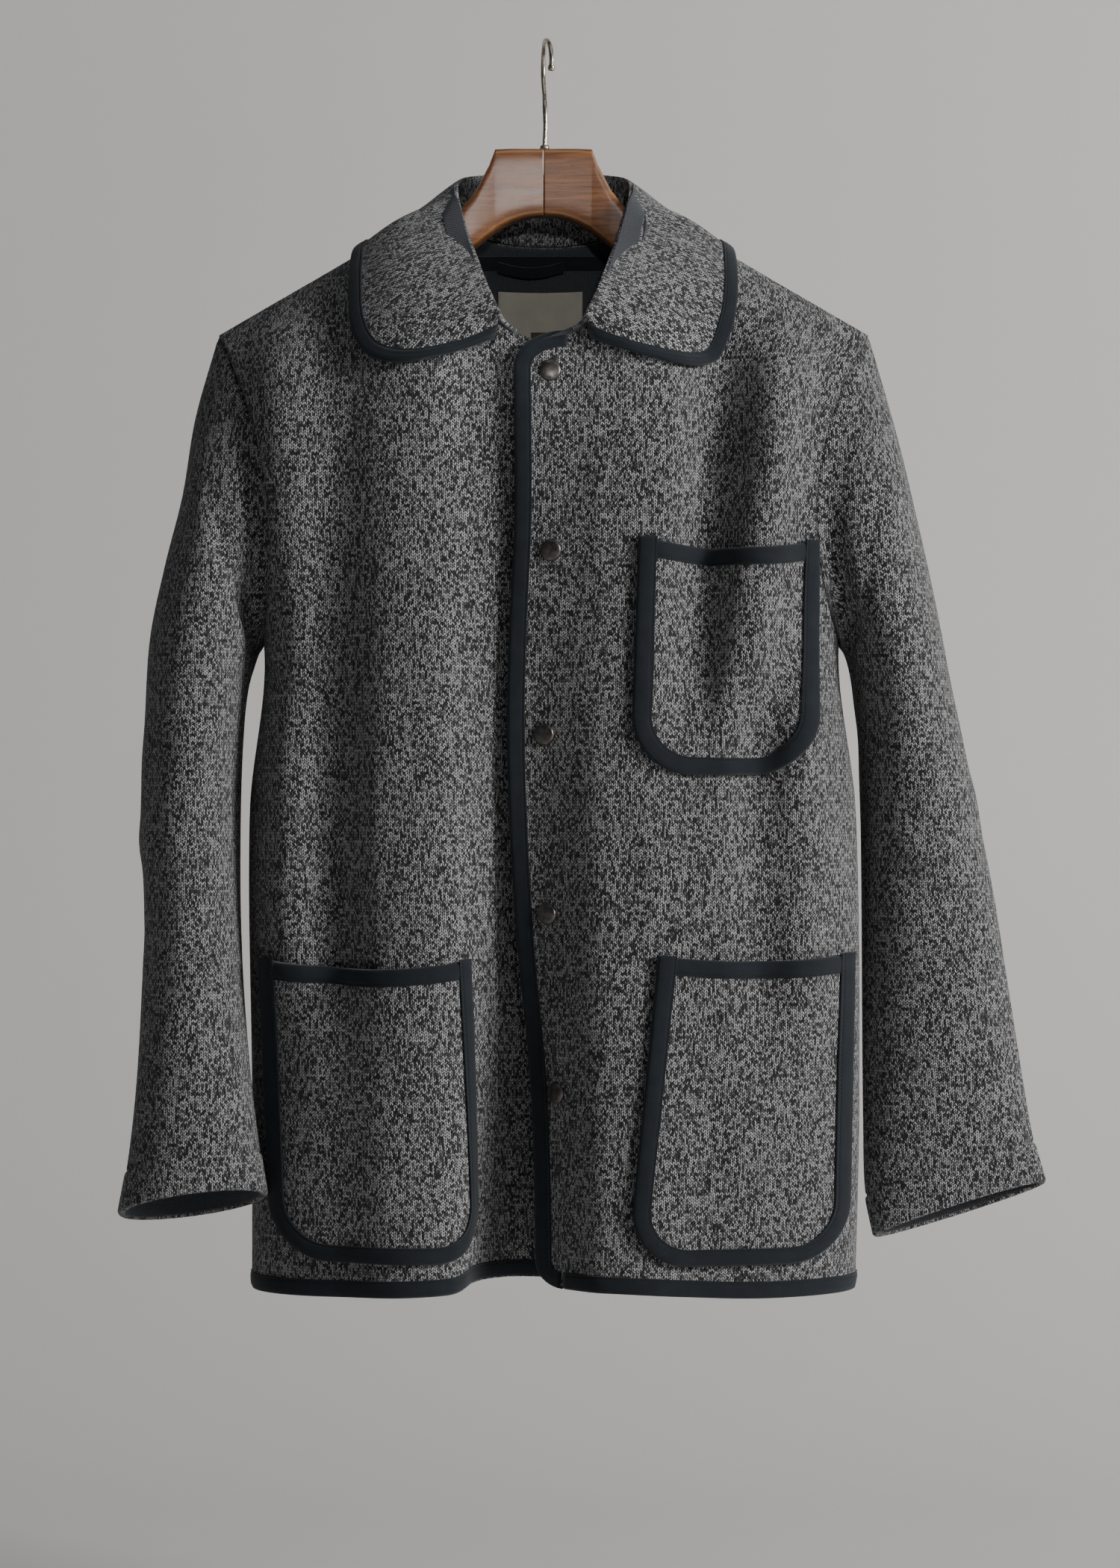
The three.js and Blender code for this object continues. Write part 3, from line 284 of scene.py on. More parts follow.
def knit_cloth():
    """Marled knit. A wale is two legs that lean together into a V, and each leg is a small oval mound:
    its place in the wale and in the course gives the mound. How light a leg's yarn is comes from a
    random number per leg, short streaks up the wales, and fine hairs."""
    s = Shade("marled_knit", Roughness=0.95, Sheen_Weight=0.18, Sheen_Roughness=0.6, Specular_IOR_Level=0.1)
    u, v, uv = s.cloth_place()
    near, far = s.noise(uv, 0.55, 1.0), s.noise(uv, 0.07, 1.0)
    u = u + (near - 0.5) * 0.7 + (far - 0.5) * 2.4
    v = v + (s.noise(s.vector(v, u, 7.0), 0.6, 1.0) - 0.5) * 0.8
    across = u / WALE
    wale = s.math("FLOOR", across)
    off = across - wale - 0.5
    leg = s.math("ABSOLUTE", off)
    along_leg = v / COURSE + leg * 1.5
    course = s.math("FLOOR", along_leg)
    da = (leg - 0.25) * 3.7
    db = (along_leg - course - 0.5) * 1.9
    mound = s.math("MAXIMUM", 1.0 - da * da - db * db, 0.0)
    leg_id = s.vector(wale * 2.0 + s.math("GREATER_THAN", off, 0.0), course)
    chance = s.node("TexWhiteNoise", {"Vector": leg_id}, noise_dimensions="2D")
    streak = s.noise(s.vector(u * 0.45, v * 0.035), 1.0, 2.0)
    hair = s.noise(s.vector(u * 2.6, v * 1.1), 1.0, 3.0, 0.65)
    light = chance * 0.78 + streak * 0.3 - 0.06
    fleck = s.step(s.math("SQRT", mound) * light + (hair - 0.5) * 0.35, 0.12, 0.72)
    colour = s.mix(fleck, (0.0135, 0.0135, 0.0155), (0.50, 0.505, 0.52))
    nap = s.noise(s.node("TexCoord", output=3), 900.0, 3.0, 0.7)
    fleece = s.mix(nap, (0.030, 0.034, 0.042), (0.085, 0.094, 0.110))
    colour = s.mix(s.field("inside"), colour, fleece)
    # Painted shade: the seam field darkens the colour towards near black along the seams and the cuff's stitch line,
    # where their grooves lie in shade.
    colour = s.mix(s.field("seam") * 0.4, colour, (0.010, 0.010, 0.012))
    s.set("Base Color", colour)
    s.bump(mound * 0.7 + hair * 0.6 + nap * 0.2, 0.0009, 0.9)
    return s.material


def tape_cloth():
    """Herringbone tape: fine diagonal ribs that turn round every few millimetres across, and a row of
    stitches beside the sewn edge, sunk in a line of painted shade."""
    s = Shade("herringbone_tape", Roughness=0.88, Sheen_Weight=0.15, Specular_IOR_Level=0.2)
    u, v, uv = s.cloth_place()
    turned = s.math("ABSOLUTE", s.math("FRACT", v / 4.4) - 0.5) * 4.4
    rib = s.math("SINE", (u + turned) * (2 * math.pi / 0.95)) * 0.5 + 0.5
    fuzz = s.noise(uv, 1.6, 3.0, 0.6)
    cloud = s.noise(uv, 0.09, 2.0)
    tone = rib * 0.45 + fuzz * 0.45 + cloud * 0.35
    colour = s.mix(s.step(tone, 0.25, 1.1), (0.005, 0.007, 0.010), (0.026, 0.034, 0.044))
    beside = s.math("ABSOLUTE", v - STITCH_IN)
    stitch = s.step(beside, 0.5, 0.25) * s.math("LESS_THAN", s.math("FRACT", u / 2.9), 0.76)
    # Painted shade: a dark line along the row of stitches, where the thread sinks into the tape.
    colour = s.mix(s.step(beside, 0.9, 0.3) * 0.7, colour, (0.003, 0.004, 0.006))
    colour = s.mix(stitch * 0.8, colour, (0.022, 0.028, 0.036))
    s.set("Base Color", colour)
    s.bump(rib * 0.35 + fuzz * 0.3 + stitch * 0.9 - s.step(beside, 1.0, 0.3) * 0.6, 0.0004, 0.8)
    return s.material


def woven_label(name, low, high):
    """Plain woven ribbon: fine threads both ways."""
    s = Shade(name, Roughness=0.8, Sheen_Weight=0.1, Specular_IOR_Level=0.25)
    u, v, uv = s.cloth_place()
    warp = s.math("SINE", u * (2 * math.pi / 0.5)) * 0.5 + 0.5
    weft = s.math("SINE", v * (2 * math.pi / 0.38)) * 0.5 + 0.5
    soil = s.noise(uv, 0.05, 3.0)
    tone = warp * 0.25 + weft * 0.35 + soil * 0.6
    s.set("Base Color", s.mix(s.step(tone, 0.2, 1.0), low, high))
    s.bump(warp * 0.5 + weft * 0.6 + s.noise(uv, 0.12, 2.0) * 1.5, 0.00025, 0.7)
    return s.material


def snap_metal():
    """Dull dark nickel with fine scratches and cloudy patches of paler metal."""
    s = Shade("dark_nickel", Metallic=1.0)
    place = s.node("TexCoord", output=3)
    scratch = s.noise(s.node("Mapping", {"Vector": place, "Scale": (400.0, 400.0, 2500.0)}), 1.0, 3.0)
    cloud = s.noise(place, 260.0, 3.0)
    s.set("Base Color", s.mix(s.step(cloud, 0.3, 0.7), (0.11, 0.10, 0.094), (0.20, 0.185, 0.175)))
    s.set("Roughness", scratch * 0.22 + cloud * 0.12 + 0.22)
    s.bump(scratch, 0.00004, 0.5)
    return s.material


def hook_metal():
    s = Shade("pale_brass_wire", Metallic=1.0)
    place = s.node("TexCoord", output=3)
    cloud = s.noise(place, 220.0, 3.0)
    s.set("Base Color", s.mix(cloud, (0.42, 0.38, 0.31), (0.68, 0.63, 0.54)))
    s.set("Roughness", cloud * 0.2 + 0.18)
    s.bump(s.noise(place, 900.0, 2.0), 0.00003, 0.4)
    return s.material


def hanger_wood():
    """Stained wood: grain and pores drawn out along X, darker growth bands, satin varnish, and painted
    highlights along the edges of the middle part.
    """
    s = Shade("stained_wood", Coat_Roughness=0.3, Specular_IOR_Level=0.45)
    place = s.node("TexCoord", output=3)
    drawn = s.node("Mapping", {"Vector": place, "Scale": (7.0, 90.0, 150.0)})
    wave = s.noise(drawn, 1.0, 4.0, 0.55)
    bands = s.math("SINE", wave * 34.0) * 0.5 + 0.5
    pores = s.noise(s.node("Mapping", {"Vector": place, "Scale": (160.0, 900.0, 1500.0)}), 1.0, 2.0, 0.6)
    pore = s.step(pores, 0.60, 0.70)
    tone = bands * 0.28 + wave * 0.9
    colour = s.mix(s.step(tone, 0.2, 0.95), (0.10, 0.036, 0.013), (0.27, 0.11, 0.040))
    colour = s.mix(pore * 0.65, colour, (0.05, 0.018, 0.007))
    # Painted highlight: the edge field lightens the wood along the corners of the section, on the middle of the
    # hanger.
    colour = s.mix(s.field("edge") * 0.45, colour, (0.50, 0.26, 0.11))
    s.set("Base Color", colour)
    s.set("Roughness", bands * 0.08 + pore * 0.2 + 0.33)
    s.set("Coat Weight", 0.45 - pore * 0.3)
    s.bump(bands * 0.3 - pore, 0.00012, 0.5)
    return s.material


def pale_floor():
    """Matt floor and wall, clear where they are seen or lit from behind."""
    s = Shade("pale_floor", Roughness=0.9, Specular_IOR_Level=0.1)
    behind = s.node("NewGeometry", output=6)
    clear = s.node("BsdfTransparent")
    both = s.node("MixShader", {0: behind, 1: Value(s, s.shader.outputs[0]), 2: clear})
    s.tree.links.new(both.socket, s.tree.nodes["Material Output"].inputs["Surface"])
    place = s.node("TexCoord", output=3)
    s.set("Base Color", s.mix(s.noise(place, 1.5, 3.0), (0.78, 0.775, 0.76), (0.83, 0.825, 0.81)))
    return s.material


KNIT = knit_cloth()
TAPE_CLOTH = tape_cloth()
LABEL_CLOTH = woven_label("cream_label", (0.44, 0.41, 0.33), (0.74, 0.70, 0.60))
TAB_CLOTH = woven_label("size_tab_ribbon", (0.085, 0.06, 0.05), (0.17, 0.125, 0.105))
SNAP_METAL = snap_metal()
HOOK_METAL = hook_metal()
WOOD = hanger_wood()


def along(table, column, at):
    """Smooth curve through a table's rows: cubic Hermite with slopes from each row's neighbours."""
    keys, values = table[:, 0], table[:, column]
    slopes = np.empty_like(values, dtype=float)
    slopes[1:-1] = (values[2:] - values[:-2]) / (keys[2:] - keys[:-2])
    slopes[0] = (values[1] - values[0]) / (keys[1] - keys[0])
    slopes[-1] = (values[-1] - values[-2]) / (keys[-1] - keys[-2])
    at = np.clip(np.asarray(at, dtype=float), keys[0], keys[-1])
    i = np.clip(np.searchsorted(keys, at, side="right") - 1, 0, len(keys) - 2)
    span = keys[i + 1] - keys[i]
    t = (at - keys[i]) / span
    start = (1 + 2 * t) * (1 - t) ** 2 * values[i] + t * (1 - t) ** 2 * span * slopes[i]
    end = t * t * (3 - 2 * t) * values[i + 1] + t * t * (t - 1) * span * slopes[i + 1]
    return start + end


def bell(d):
    """Half a cosine wave raised to 0..1: (1 + cos(pi d)) / 2 inside |d| < 1."""
    return np.where(np.abs(d) < 1, 0.5 + 0.5 * np.cos(np.pi * np.clip(d, -1, 1)), 0.0)


def smoothstep(x, low, high):
    t = np.clip((x - low) / (high - low), 0, 1)
    return t * t * (3 - 2 * t)


def folds_out(folds, x, z):
    """Each fold is a bell across, and its height runs in a line from its top to its foot."""
    out = np.zeros(np.broadcast(x, z).shape)
    for top, top_x, foot, foot_x, half, top_out, foot_out in folds:
        down = (top - z) / (top - foot)
        strength = top_out + (foot_out - top_out) * np.clip(down, 0, 1)
        strength = strength * bell(3 * np.maximum(0, np.maximum(-down, down - 1)))
        out += strength * bell((x - (top_x + (foot_x - top_x) * down)) / half / 1.6)
    return out


def shoulder_z(x):
    return SHOULDER_NECK_Z - SHOULDER_FALL * np.maximum(0, np.abs(x) - NECK_HALF)


def swell(x, z):
    """Share of full depth below the shoulder line: (1 - (1 - h)^2.5)^0.6."""
    h = np.clip((shoulder_z(x) - z) / SHOULDER_ROUND, 0, 1)
    return (1 - (1 - h) ** 2.5) ** 0.6


def body(x, z, is_front, out=0.0):
    """Points of the body's face at x, z, moved out along the normal.

    Depth is the section's depth times (1 - |across|^p)^(1/p) times the swell below the shoulder, with
    the folds added and the centre groove taken away.
    """
    x, z = np.broadcast_arrays(np.asarray(x, float), np.asarray(z, float))

    def depth(x, z):
        across = np.clip(np.abs(x - along(SECTIONS, MIDDLE, z)) / along(SECTIONS, HALF, z), 0, 1)
        rounding = (1 - across ** SIDE_POWER) ** (1 / SIDE_POWER)
        up = swell(x, z)
        deep = along(SECTIONS, FRONT_DEEP if is_front else BACK_DEEP, z) * rounding * up
        calm = np.minimum(1, rounding * 1.3) * np.minimum(1, up * 1.1)
        if not is_front:
            return deep + calm * (folds_out(BACK_FOLDS, x, z) + fine_creases(BACK_CREASES, x, z))
        down = np.clip((GROOVE["top"] - z) / (GROOVE["top"] - GROOVE["foot"]), 0, 1)
        d = x - GROOVE["x"]
        groove = GROOVE["deep"] * down ** 0.95 * bell(d / np.where(d < 0, GROOVE["left"], GROOVE["right"]))
        return deep + calm * (folds_out(FRONT_FOLDS, x, z) + fine_creases(FRONT_CREASES, x, z)) - groove

    side = -1.0 if is_front else 1.0
    points = np.stack([x, side * depth(x, z), z], axis=-1)
    if np.all(np.asarray(out) == 0):
        return points
    step = 1.0
    slope_x = side * (depth(x + step, z) - depth(x - step, z)) / (2 * step)
    slope_z = side * (depth(x, z + step) - depth(x, z - step)) / (2 * step)
    normal = np.stack([-slope_x, np.ones_like(x), -slope_z], axis=-1) * side
    normal /= np.linalg.norm(normal, axis=-1, keepdims=True)
    return points + normal * np.asarray(out)[..., None]


# Small soft creases: middle x, z, run in degrees from upright, half length, half width, how far out
FRONT_CREASES = [
    (-120, -560, 6, 120, 12, 1.6), (-92, -470, -4, 90, 9, -1.4), (-150, -690, 10, 80, 14, 1.2),
    (60, -600, -5, 110, 12, -1.6), (110, -590, 4, 70, 10, 1.4), (150, -470, -8, 80, 12, 1.2),
    (-160, -300, 28, 60, 10, 1.4), (160, -300, -26, 60, 10, 1.6), (-70, -330, 8, 70, 12, -1.2),
    (38, -330, -2, 90, 7, 1.2), (118, -410, 4, 60, 8, -2.2), (-24, -760, 0, 90, 6, 0.0),
    (176, -560, 6, 90, 12, -1.6), (-180, -520, -6, 100, 12, 1.6), (95, -262, 60, 50, 12, -1.2),
    (-100, -262, -62, 46, 12, -1.2), (130, -740, 2, 80, 16, 1.4), (-110, -760, -3, 90, 16, 1.2),
]
BACK_CREASES = [
    (-30, -420, 4, 130, 14, 1.8), (40, -520, -6, 120, 12, -1.6), (-110, -560, 8, 130, 14, 1.8),
    (120, -500, -8, 140, 14, 2.0), (-160, -330, 24, 70, 12, 1.6), (164, -330, -24, 70, 12, 1.6),
    (0, -250, 88, 90, 14, 1.2), (80, -700, -4, 110, 14, -1.8), (-70, -740, 3, 100, 14, 1.8),
]


def fine_creases(creases, x, z):
    """Soft troughs and ridges: a bell across and a longer bell along each line."""
    out = np.zeros(np.broadcast(x, z).shape)
    for mid_x, mid_z, turn, long_half, wide_half, height in creases:
        c, s = math.cos(math.radians(turn)), math.sin(math.radians(turn))
        run = (x - mid_x) * s + (z - mid_z) * c
        off = (x - mid_x) * c - (z - mid_z) * s
        out += height * bell(off / wide_half / 1.5) * bell(run / long_half)
    return out


def armhole(name, angle, is_front):
    """Armhole loop: x is a two-term cosine series of the angle, z a cosine; 0 is the shoulder."""
    side, top, mid, low = ARMHOLES[name]
    cos = np.cos(angle)
    x = (top + low) / 4 + mid / 2 + (top - low) / 2 * cos + ((top + low) / 4 - mid / 2) * np.cos(2 * angle)
    z = ARMPIT_Z + (ARMHOLE_TOP_Z - ARMPIT_Z) * (1 + cos) / 2
    points = body(side * x, z, is_front)
    points[..., 1] *= smoothstep(np.abs(np.sin(angle)), 0.0, 0.06)
    return points


def hem_z(x, is_front):
    if not is_front:
        return np.full_like(np.asarray(x, float), -874.0)
    return -871 + 5 * bell((x - 20) / 200) - 2 * bell((x - 130) / 90)


def front_edge_x(z):
    return along(FRONT_EDGE, 1, z)


def corner_inset(z, foot, top):
    """Inset of the left front's bound edge: a quarter ellipse at the neck and a quarter circle at the hem."""
    wide, high, radius = LEFT_CORNERS
    up = np.clip((z - (top - high)) / high, 0, 1)
    down = np.clip((foot + radius - z) / radius, 0, 1)
    return wide * (1 - np.sqrt(1 - up ** 2)) + radius * (1 - np.sqrt(1 - down ** 2))


def under_layer(x, z):
    """How far the right front lies behind the body's face: the lap, and a roll back towards the hem."""
    down = np.clip((-430 - z) / 440, 0, 1)
    return LAP * smoothstep(x, -75, -38) + 14 * down ** 1.2 * smoothstep(x, -52, -24)


def half_panel(name, is_front, edge_x, neck_angle, neck_z, layer, corner, columns, low_rows, high_rows):
    """Grid from the hem up and from the side seam to the centre edge.

    Below the armpit a row is level. Above it a row is a blend of the armpit row and the shoulder and
    neck line, with its ends moved onto the armhole and the centre edge.
    """
    side, arm_top, _, arm_low = ARMHOLES[name]
    s = np.linspace(0, 1, columns + 1)[None, :]

    def level_x(z, end_x):
        middle, half = along(SECTIONS, MIDDLE, z), along(SECTIONS, HALF, z)
        end = np.arccos(np.clip(side * (end_x - middle) / half, -1, 1))
        return middle + side * half * np.cos(s * end)

    foot_z = float(hem_z(edge_x(-870.0), is_front))

    def corner_x(z):
        return np.zeros_like(z) if corner is None else side * corner_inset(z, foot_z, neck_z)

    t = np.concatenate([np.linspace(0, 0.036, 9)[:-1], np.linspace(0.036, 1, low_rows)])[:-1, None]
    z = foot_z + (ARMPIT_Z - foot_z) * t
    x = level_x(z, edge_x(z)) + corner_x(z) * s ** 7
    own_foot = hem_z(x, is_front)
    low = body(x, own_foot + (ARMPIT_Z - own_foot) * t, is_front, -layer(x, z))
    low[:, 0, 1] = 0

    t = np.sort(np.concatenate([np.linspace(0, 1, high_rows), 1 - np.linspace(0.012, 0.1, 7)]))[:, None]
    share = 0.52
    tip = armhole(name, np.array(0.0), is_front)
    on_shoulder = s <= share
    along_shoulder = np.clip(s / share, 0, 1)
    neck = np.clip((s - share) / (1 - share), 0, 1) * neck_angle
    low_z = NECK_FRONT_Z if is_front else NECK_BACK_Z
    top_x = np.where(
        on_shoulder, tip[0] + (side * NECK_HALF - tip[0]) * along_shoulder,
        side * NECK_HALF * np.cos(neck))
    top_z = np.where(
        on_shoulder, tip[2] + (SHOULDER_NECK_Z - tip[2]) * along_shoulder,
        SHOULDER_NECK_Z - (SHOULDER_NECK_Z - low_z) * np.sin(neck))
    arm = armhole(name, np.pi * (1 - t), is_front)
    arm_foot = armhole(name, np.array(np.pi), is_front)
    end_z = ARMPIT_Z + (top_z[0, -1] - ARMPIT_Z) * t
    end_x = edge_x(end_z) + corner_x(end_z)
    low_x = level_x(np.array([[ARMPIT_Z]]), edge_x(np.array([[ARMPIT_Z]])))
    by_arm, by_end = (1 - s) ** 2.2, s ** 4
    x = (low_x + (top_x - low_x) * t
         + by_arm * (arm[..., 0] - (arm_foot[0] + (tip[0] - arm_foot[0]) * t))
         + by_end * (end_x - (edge_x(ARMPIT_Z) + (top_x[0, -1] - edge_x(ARMPIT_Z)) * t)))
    z = (ARMPIT_Z + (top_z - ARMPIT_Z) * t
         + by_arm * (arm[..., 2] - (arm_foot[2] + (tip[2] - arm_foot[2]) * t)))
    high = body(x, z, is_front, -layer(x, z))
    high[:, 0] = arm[:, 0]
    high[-1, (s <= share)[0], 1] = 0
    return np.concatenate([low, high])


# Meshes from arrays

def quads(grid):
    """Four-sided faces of a grid: each cell's four values, in order round it."""
    cells = [grid[:-1, :-1], grid[:-1, 1:], grid[1:, 1:], grid[1:, :-1]]
    return np.stack(cells, axis=2).reshape(-1, 4, *grid.shape[2:])


def caps(around, first, last):
    """Fans that close a tube's two ends: each face spans two cells of a ring and its middle point."""
    even = np.arange(0, around.shape[1] - 2, 2)
    start = np.stack([np.full_like(even, first), around[0, even + 2], around[0, even + 1], around[0, even]], -1)
    end = np.stack([np.full_like(even, last), around[-1, even], around[-1, even + 1], around[-1, even + 2]], -1)
    return start, end


def piece(name, points, faces, material, uv=None, **fields):
    """One smooth mesh. Its faces are turned over where its volume comes out negative."""
    a, b, c, d = (points[faces[:, k]] for k in range(4))
    if np.einsum("ij,ij->", a, np.cross(b, c) + np.cross(c, d)) < 0:
        faces = faces[:, ::-1]
        uv = None if uv is None else uv[:, ::-1]
    mesh = bpy.data.meshes.new(name)
    mesh.from_pydata((points * MM).tolist(), [], faces.tolist())
    if uv is not None:
        mesh.uv_layers.new(name="cloth").data.foreach_set("uv", np.ascontiguousarray(uv).ravel())
    for field, values in fields.items():
        mesh.attributes.new(field, "FLOAT", "POINT").data.foreach_set("value", values.ravel())
    mesh.polygons.foreach_set("use_smooth", np.ones(len(faces), bool))
    mesh.materials.append(material)
    obj = bpy.data.objects.new(name, mesh)
    bpy.context.collection.objects.link(obj)
    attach(obj, "root")
    return obj


def wall(name, outer, inner, uv, material, seam=None):
    """Closed wall: a row of the outer face and the same row of the inner face make one flat ring, and
    the first and the last ring are closed across."""
    rows, columns = outer.shape[:2]

    def ring(front, back):
        return np.concatenate([front, back[:, ::-1]], axis=1)

    def faces_of(grid):
        around = np.concatenate([grid, grid[:, :1]], axis=1)
        front, back = grid[:, :columns], grid[:, :columns - 1:-1]
        ends = [quads(np.stack([back[0], front[0]])), quads(np.stack([front[-1], back[-1]]))]
        return np.concatenate([quads(around), *ends])

    index = np.arange(rows * 2 * columns).reshape(rows, -1)
    flat = np.zeros((rows, columns))
    # seam: share of painted seam shade at each point of the outer face; the inner face gets none.
    seam = flat if seam is None else seam
    return piece(
        name, ring(outer, inner).reshape(-1, 3), faces_of(index), material, faces_of(ring(uv, uv)),
        inside=ring(flat, flat + 1), seam=ring(seam, seam * 0))


def lengths(grid, axis):
    """Distance along a grid's lines from their first point."""
    steps = np.linalg.norm(np.diff(grid, axis=axis), axis=-1)
    shape = list(grid.shape[:2])
    shape[axis] = 1
    return np.concatenate([np.zeros(shape), np.cumsum(steps, axis=axis)], axis=axis)


def normals_of(grid, towards, closed_round=False):
    """Unit normals: the cross product of a grid's two differences, turned to one side."""
    if closed_round:
        across = np.roll(grid, -1, axis=1) - np.roll(grid, 1, axis=1)
    else:
        across = np.gradient(grid, axis=1)
    n = np.cross(across, np.gradient(grid, axis=0))
    n /= np.maximum(np.linalg.norm(n, axis=-1, keepdims=True), 1e-9)
    return n if np.sum(n * towards) > 0 else -n


def smooth_through(points, t):
    """Curves through rows of points: cubic Hermite, with half the difference of each row's neighbours."""
    slopes = np.gradient(points, axis=0)
    i = np.clip(np.floor(t).astype(int), 0, len(points) - 2)
    f = (t - i).reshape(-1, *[1] * (points.ndim - 1))
    start = (1 + 2 * f) * (1 - f) ** 2 * points[i] + f * (1 - f) ** 2 * slopes[i]
    return start + f * f * (3 - 2 * f) * points[i + 1] + f * f * (f - 1) * slopes[i + 1]


def resample(line, step):
    """Points at even steps along a line."""
    gone = np.concatenate([[0], np.cumsum(np.linalg.norm(np.diff(line, axis=0), axis=-1))])
    at = np.linspace(0, gone[-1], max(3, int(gone[-1] / step)) + 1)
    return np.stack([np.interp(at, gone, line[:, k]) for k in range(line.shape[1])], axis=-1)


def arc_net(is_front):
    """Widths over the cloth from x = 0, and heights over it at the chest, on a fine net of the body."""
    x, z = np.arange(-275, 275.1, 0.25), np.arange(-890, -99.9, 5.0)
    net = body(x[None, :], z[:, None], is_front)
    width = lengths(net, 1)
    width -= width[:, [np.argmin(np.abs(x))]]
    chest = body(np.full(791, 90.0), np.linspace(-890, -100, 791), is_front)
    return x, z, width, chest[:, 2], lengths(chest[:, None], 0)[:, 0]


NETS = {True: arc_net(True), False: arc_net(False)}


def cloth_uv(points, is_front):
    """Place on the flat cloth in millimetres: the width over the body from x = 0 by bilinear look-up in
    the net, and the height over the chest."""
    x, z, width, chest_z, height = NETS[is_front]
    i = np.clip((points[..., 0] - x[0]) / 0.25, 0, len(x) - 1.001)
    j = np.clip((points[..., 2] - z[0]) / 5, 0, len(z) - 1.001)
    i0, j0 = i.astype(int), j.astype(int)
    f, g = i - i0, j - j0
    low = width[j0, i0] * (1 - f) + width[j0, i0 + 1] * f
    high = width[j0 + 1, i0] * (1 - f) + width[j0 + 1, i0 + 1] * f
    return np.stack([low * (1 - g) + high * g, np.interp(points[..., 2], chest_z, height)], axis=-1)


def cut_size(grid, closed_round=False):
    """Flat size of a cloth grid in metres: its longest row, its longest column, and its area."""
    a, b, c, d = (quads(grid)[:, k] for k in range(4))
    area = 0.5 * np.linalg.norm(np.cross(c - a, d - b), axis=-1).sum()
    return (lengths(grid, 1)[:, -1].max() * MM, lengths(grid, 0)[-1].max() * MM), area * MM * MM


CUTS = {}


def declare(obj, grid, with_pieces=()):
    flat, area = cut_size(grid)
    list(with_pieces)
    CUTS[obj.name] = [round(flat[0], 3), round(flat[1], 3), round(area, 4)]


# Fronts and back

def panel(name, outer, is_front):
    """Wall of a panel. Its edges stand a hair off the plane of the side and shoulder seams."""
    side = -1 if is_front else 1
    normals = normals_of(outer, np.array([0, side, 0.2]))
    inner = outer - normals * WALL
    for grid in (outer, inner):
        grid[..., 1] = side * np.maximum(side * grid[..., 1], 0.15)
    uv = cloth_uv(outer, is_front)
    # Painted shade along the panel's seams: the seam field, high at the side seams and along the top edge at the
    # shoulders and neck, darkens the knit's colour there.
    if is_front:
        seam = bell(lengths(outer, 1) / 3.0)
    else:
        across = lengths(outer, 1)
        seam = bell(across / 3.0) + bell((across[:, -1:] - across) / 3.0)
    seam = np.maximum(seam, bell(lengths(outer[::-1], 0)[::-1] / 3.0))
    return wall(name, outer, inner, uv, KNIT, seam)


def fronts_and_back():
    def under_edge_x(z):
        return np.full_like(np.asarray(z, float), FRONT_EDGE_UNDER_X)

    def middle(z):
        return np.zeros_like(np.asarray(z, float))

    left = half_panel(
        "left", True, front_edge_x, np.radians(76), NECK_FRONT_Z, no_layer, LEFT_CORNERS, 96, 100, 70)
    right = half_panel(
        "right", True, under_edge_x, np.radians(102), NECK_FRONT_Z, under_layer, None, 96, 100, 70)
    backs = [
        half_panel(side, False, middle, np.pi / 2, NECK_BACK_Z, no_layer, None, 80, 100, 70)
        for side in ("left", "right")]
    back = np.concatenate([backs[0], backs[1][:, -2::-1]], axis=1)
    return left, right, back


# Sleeves

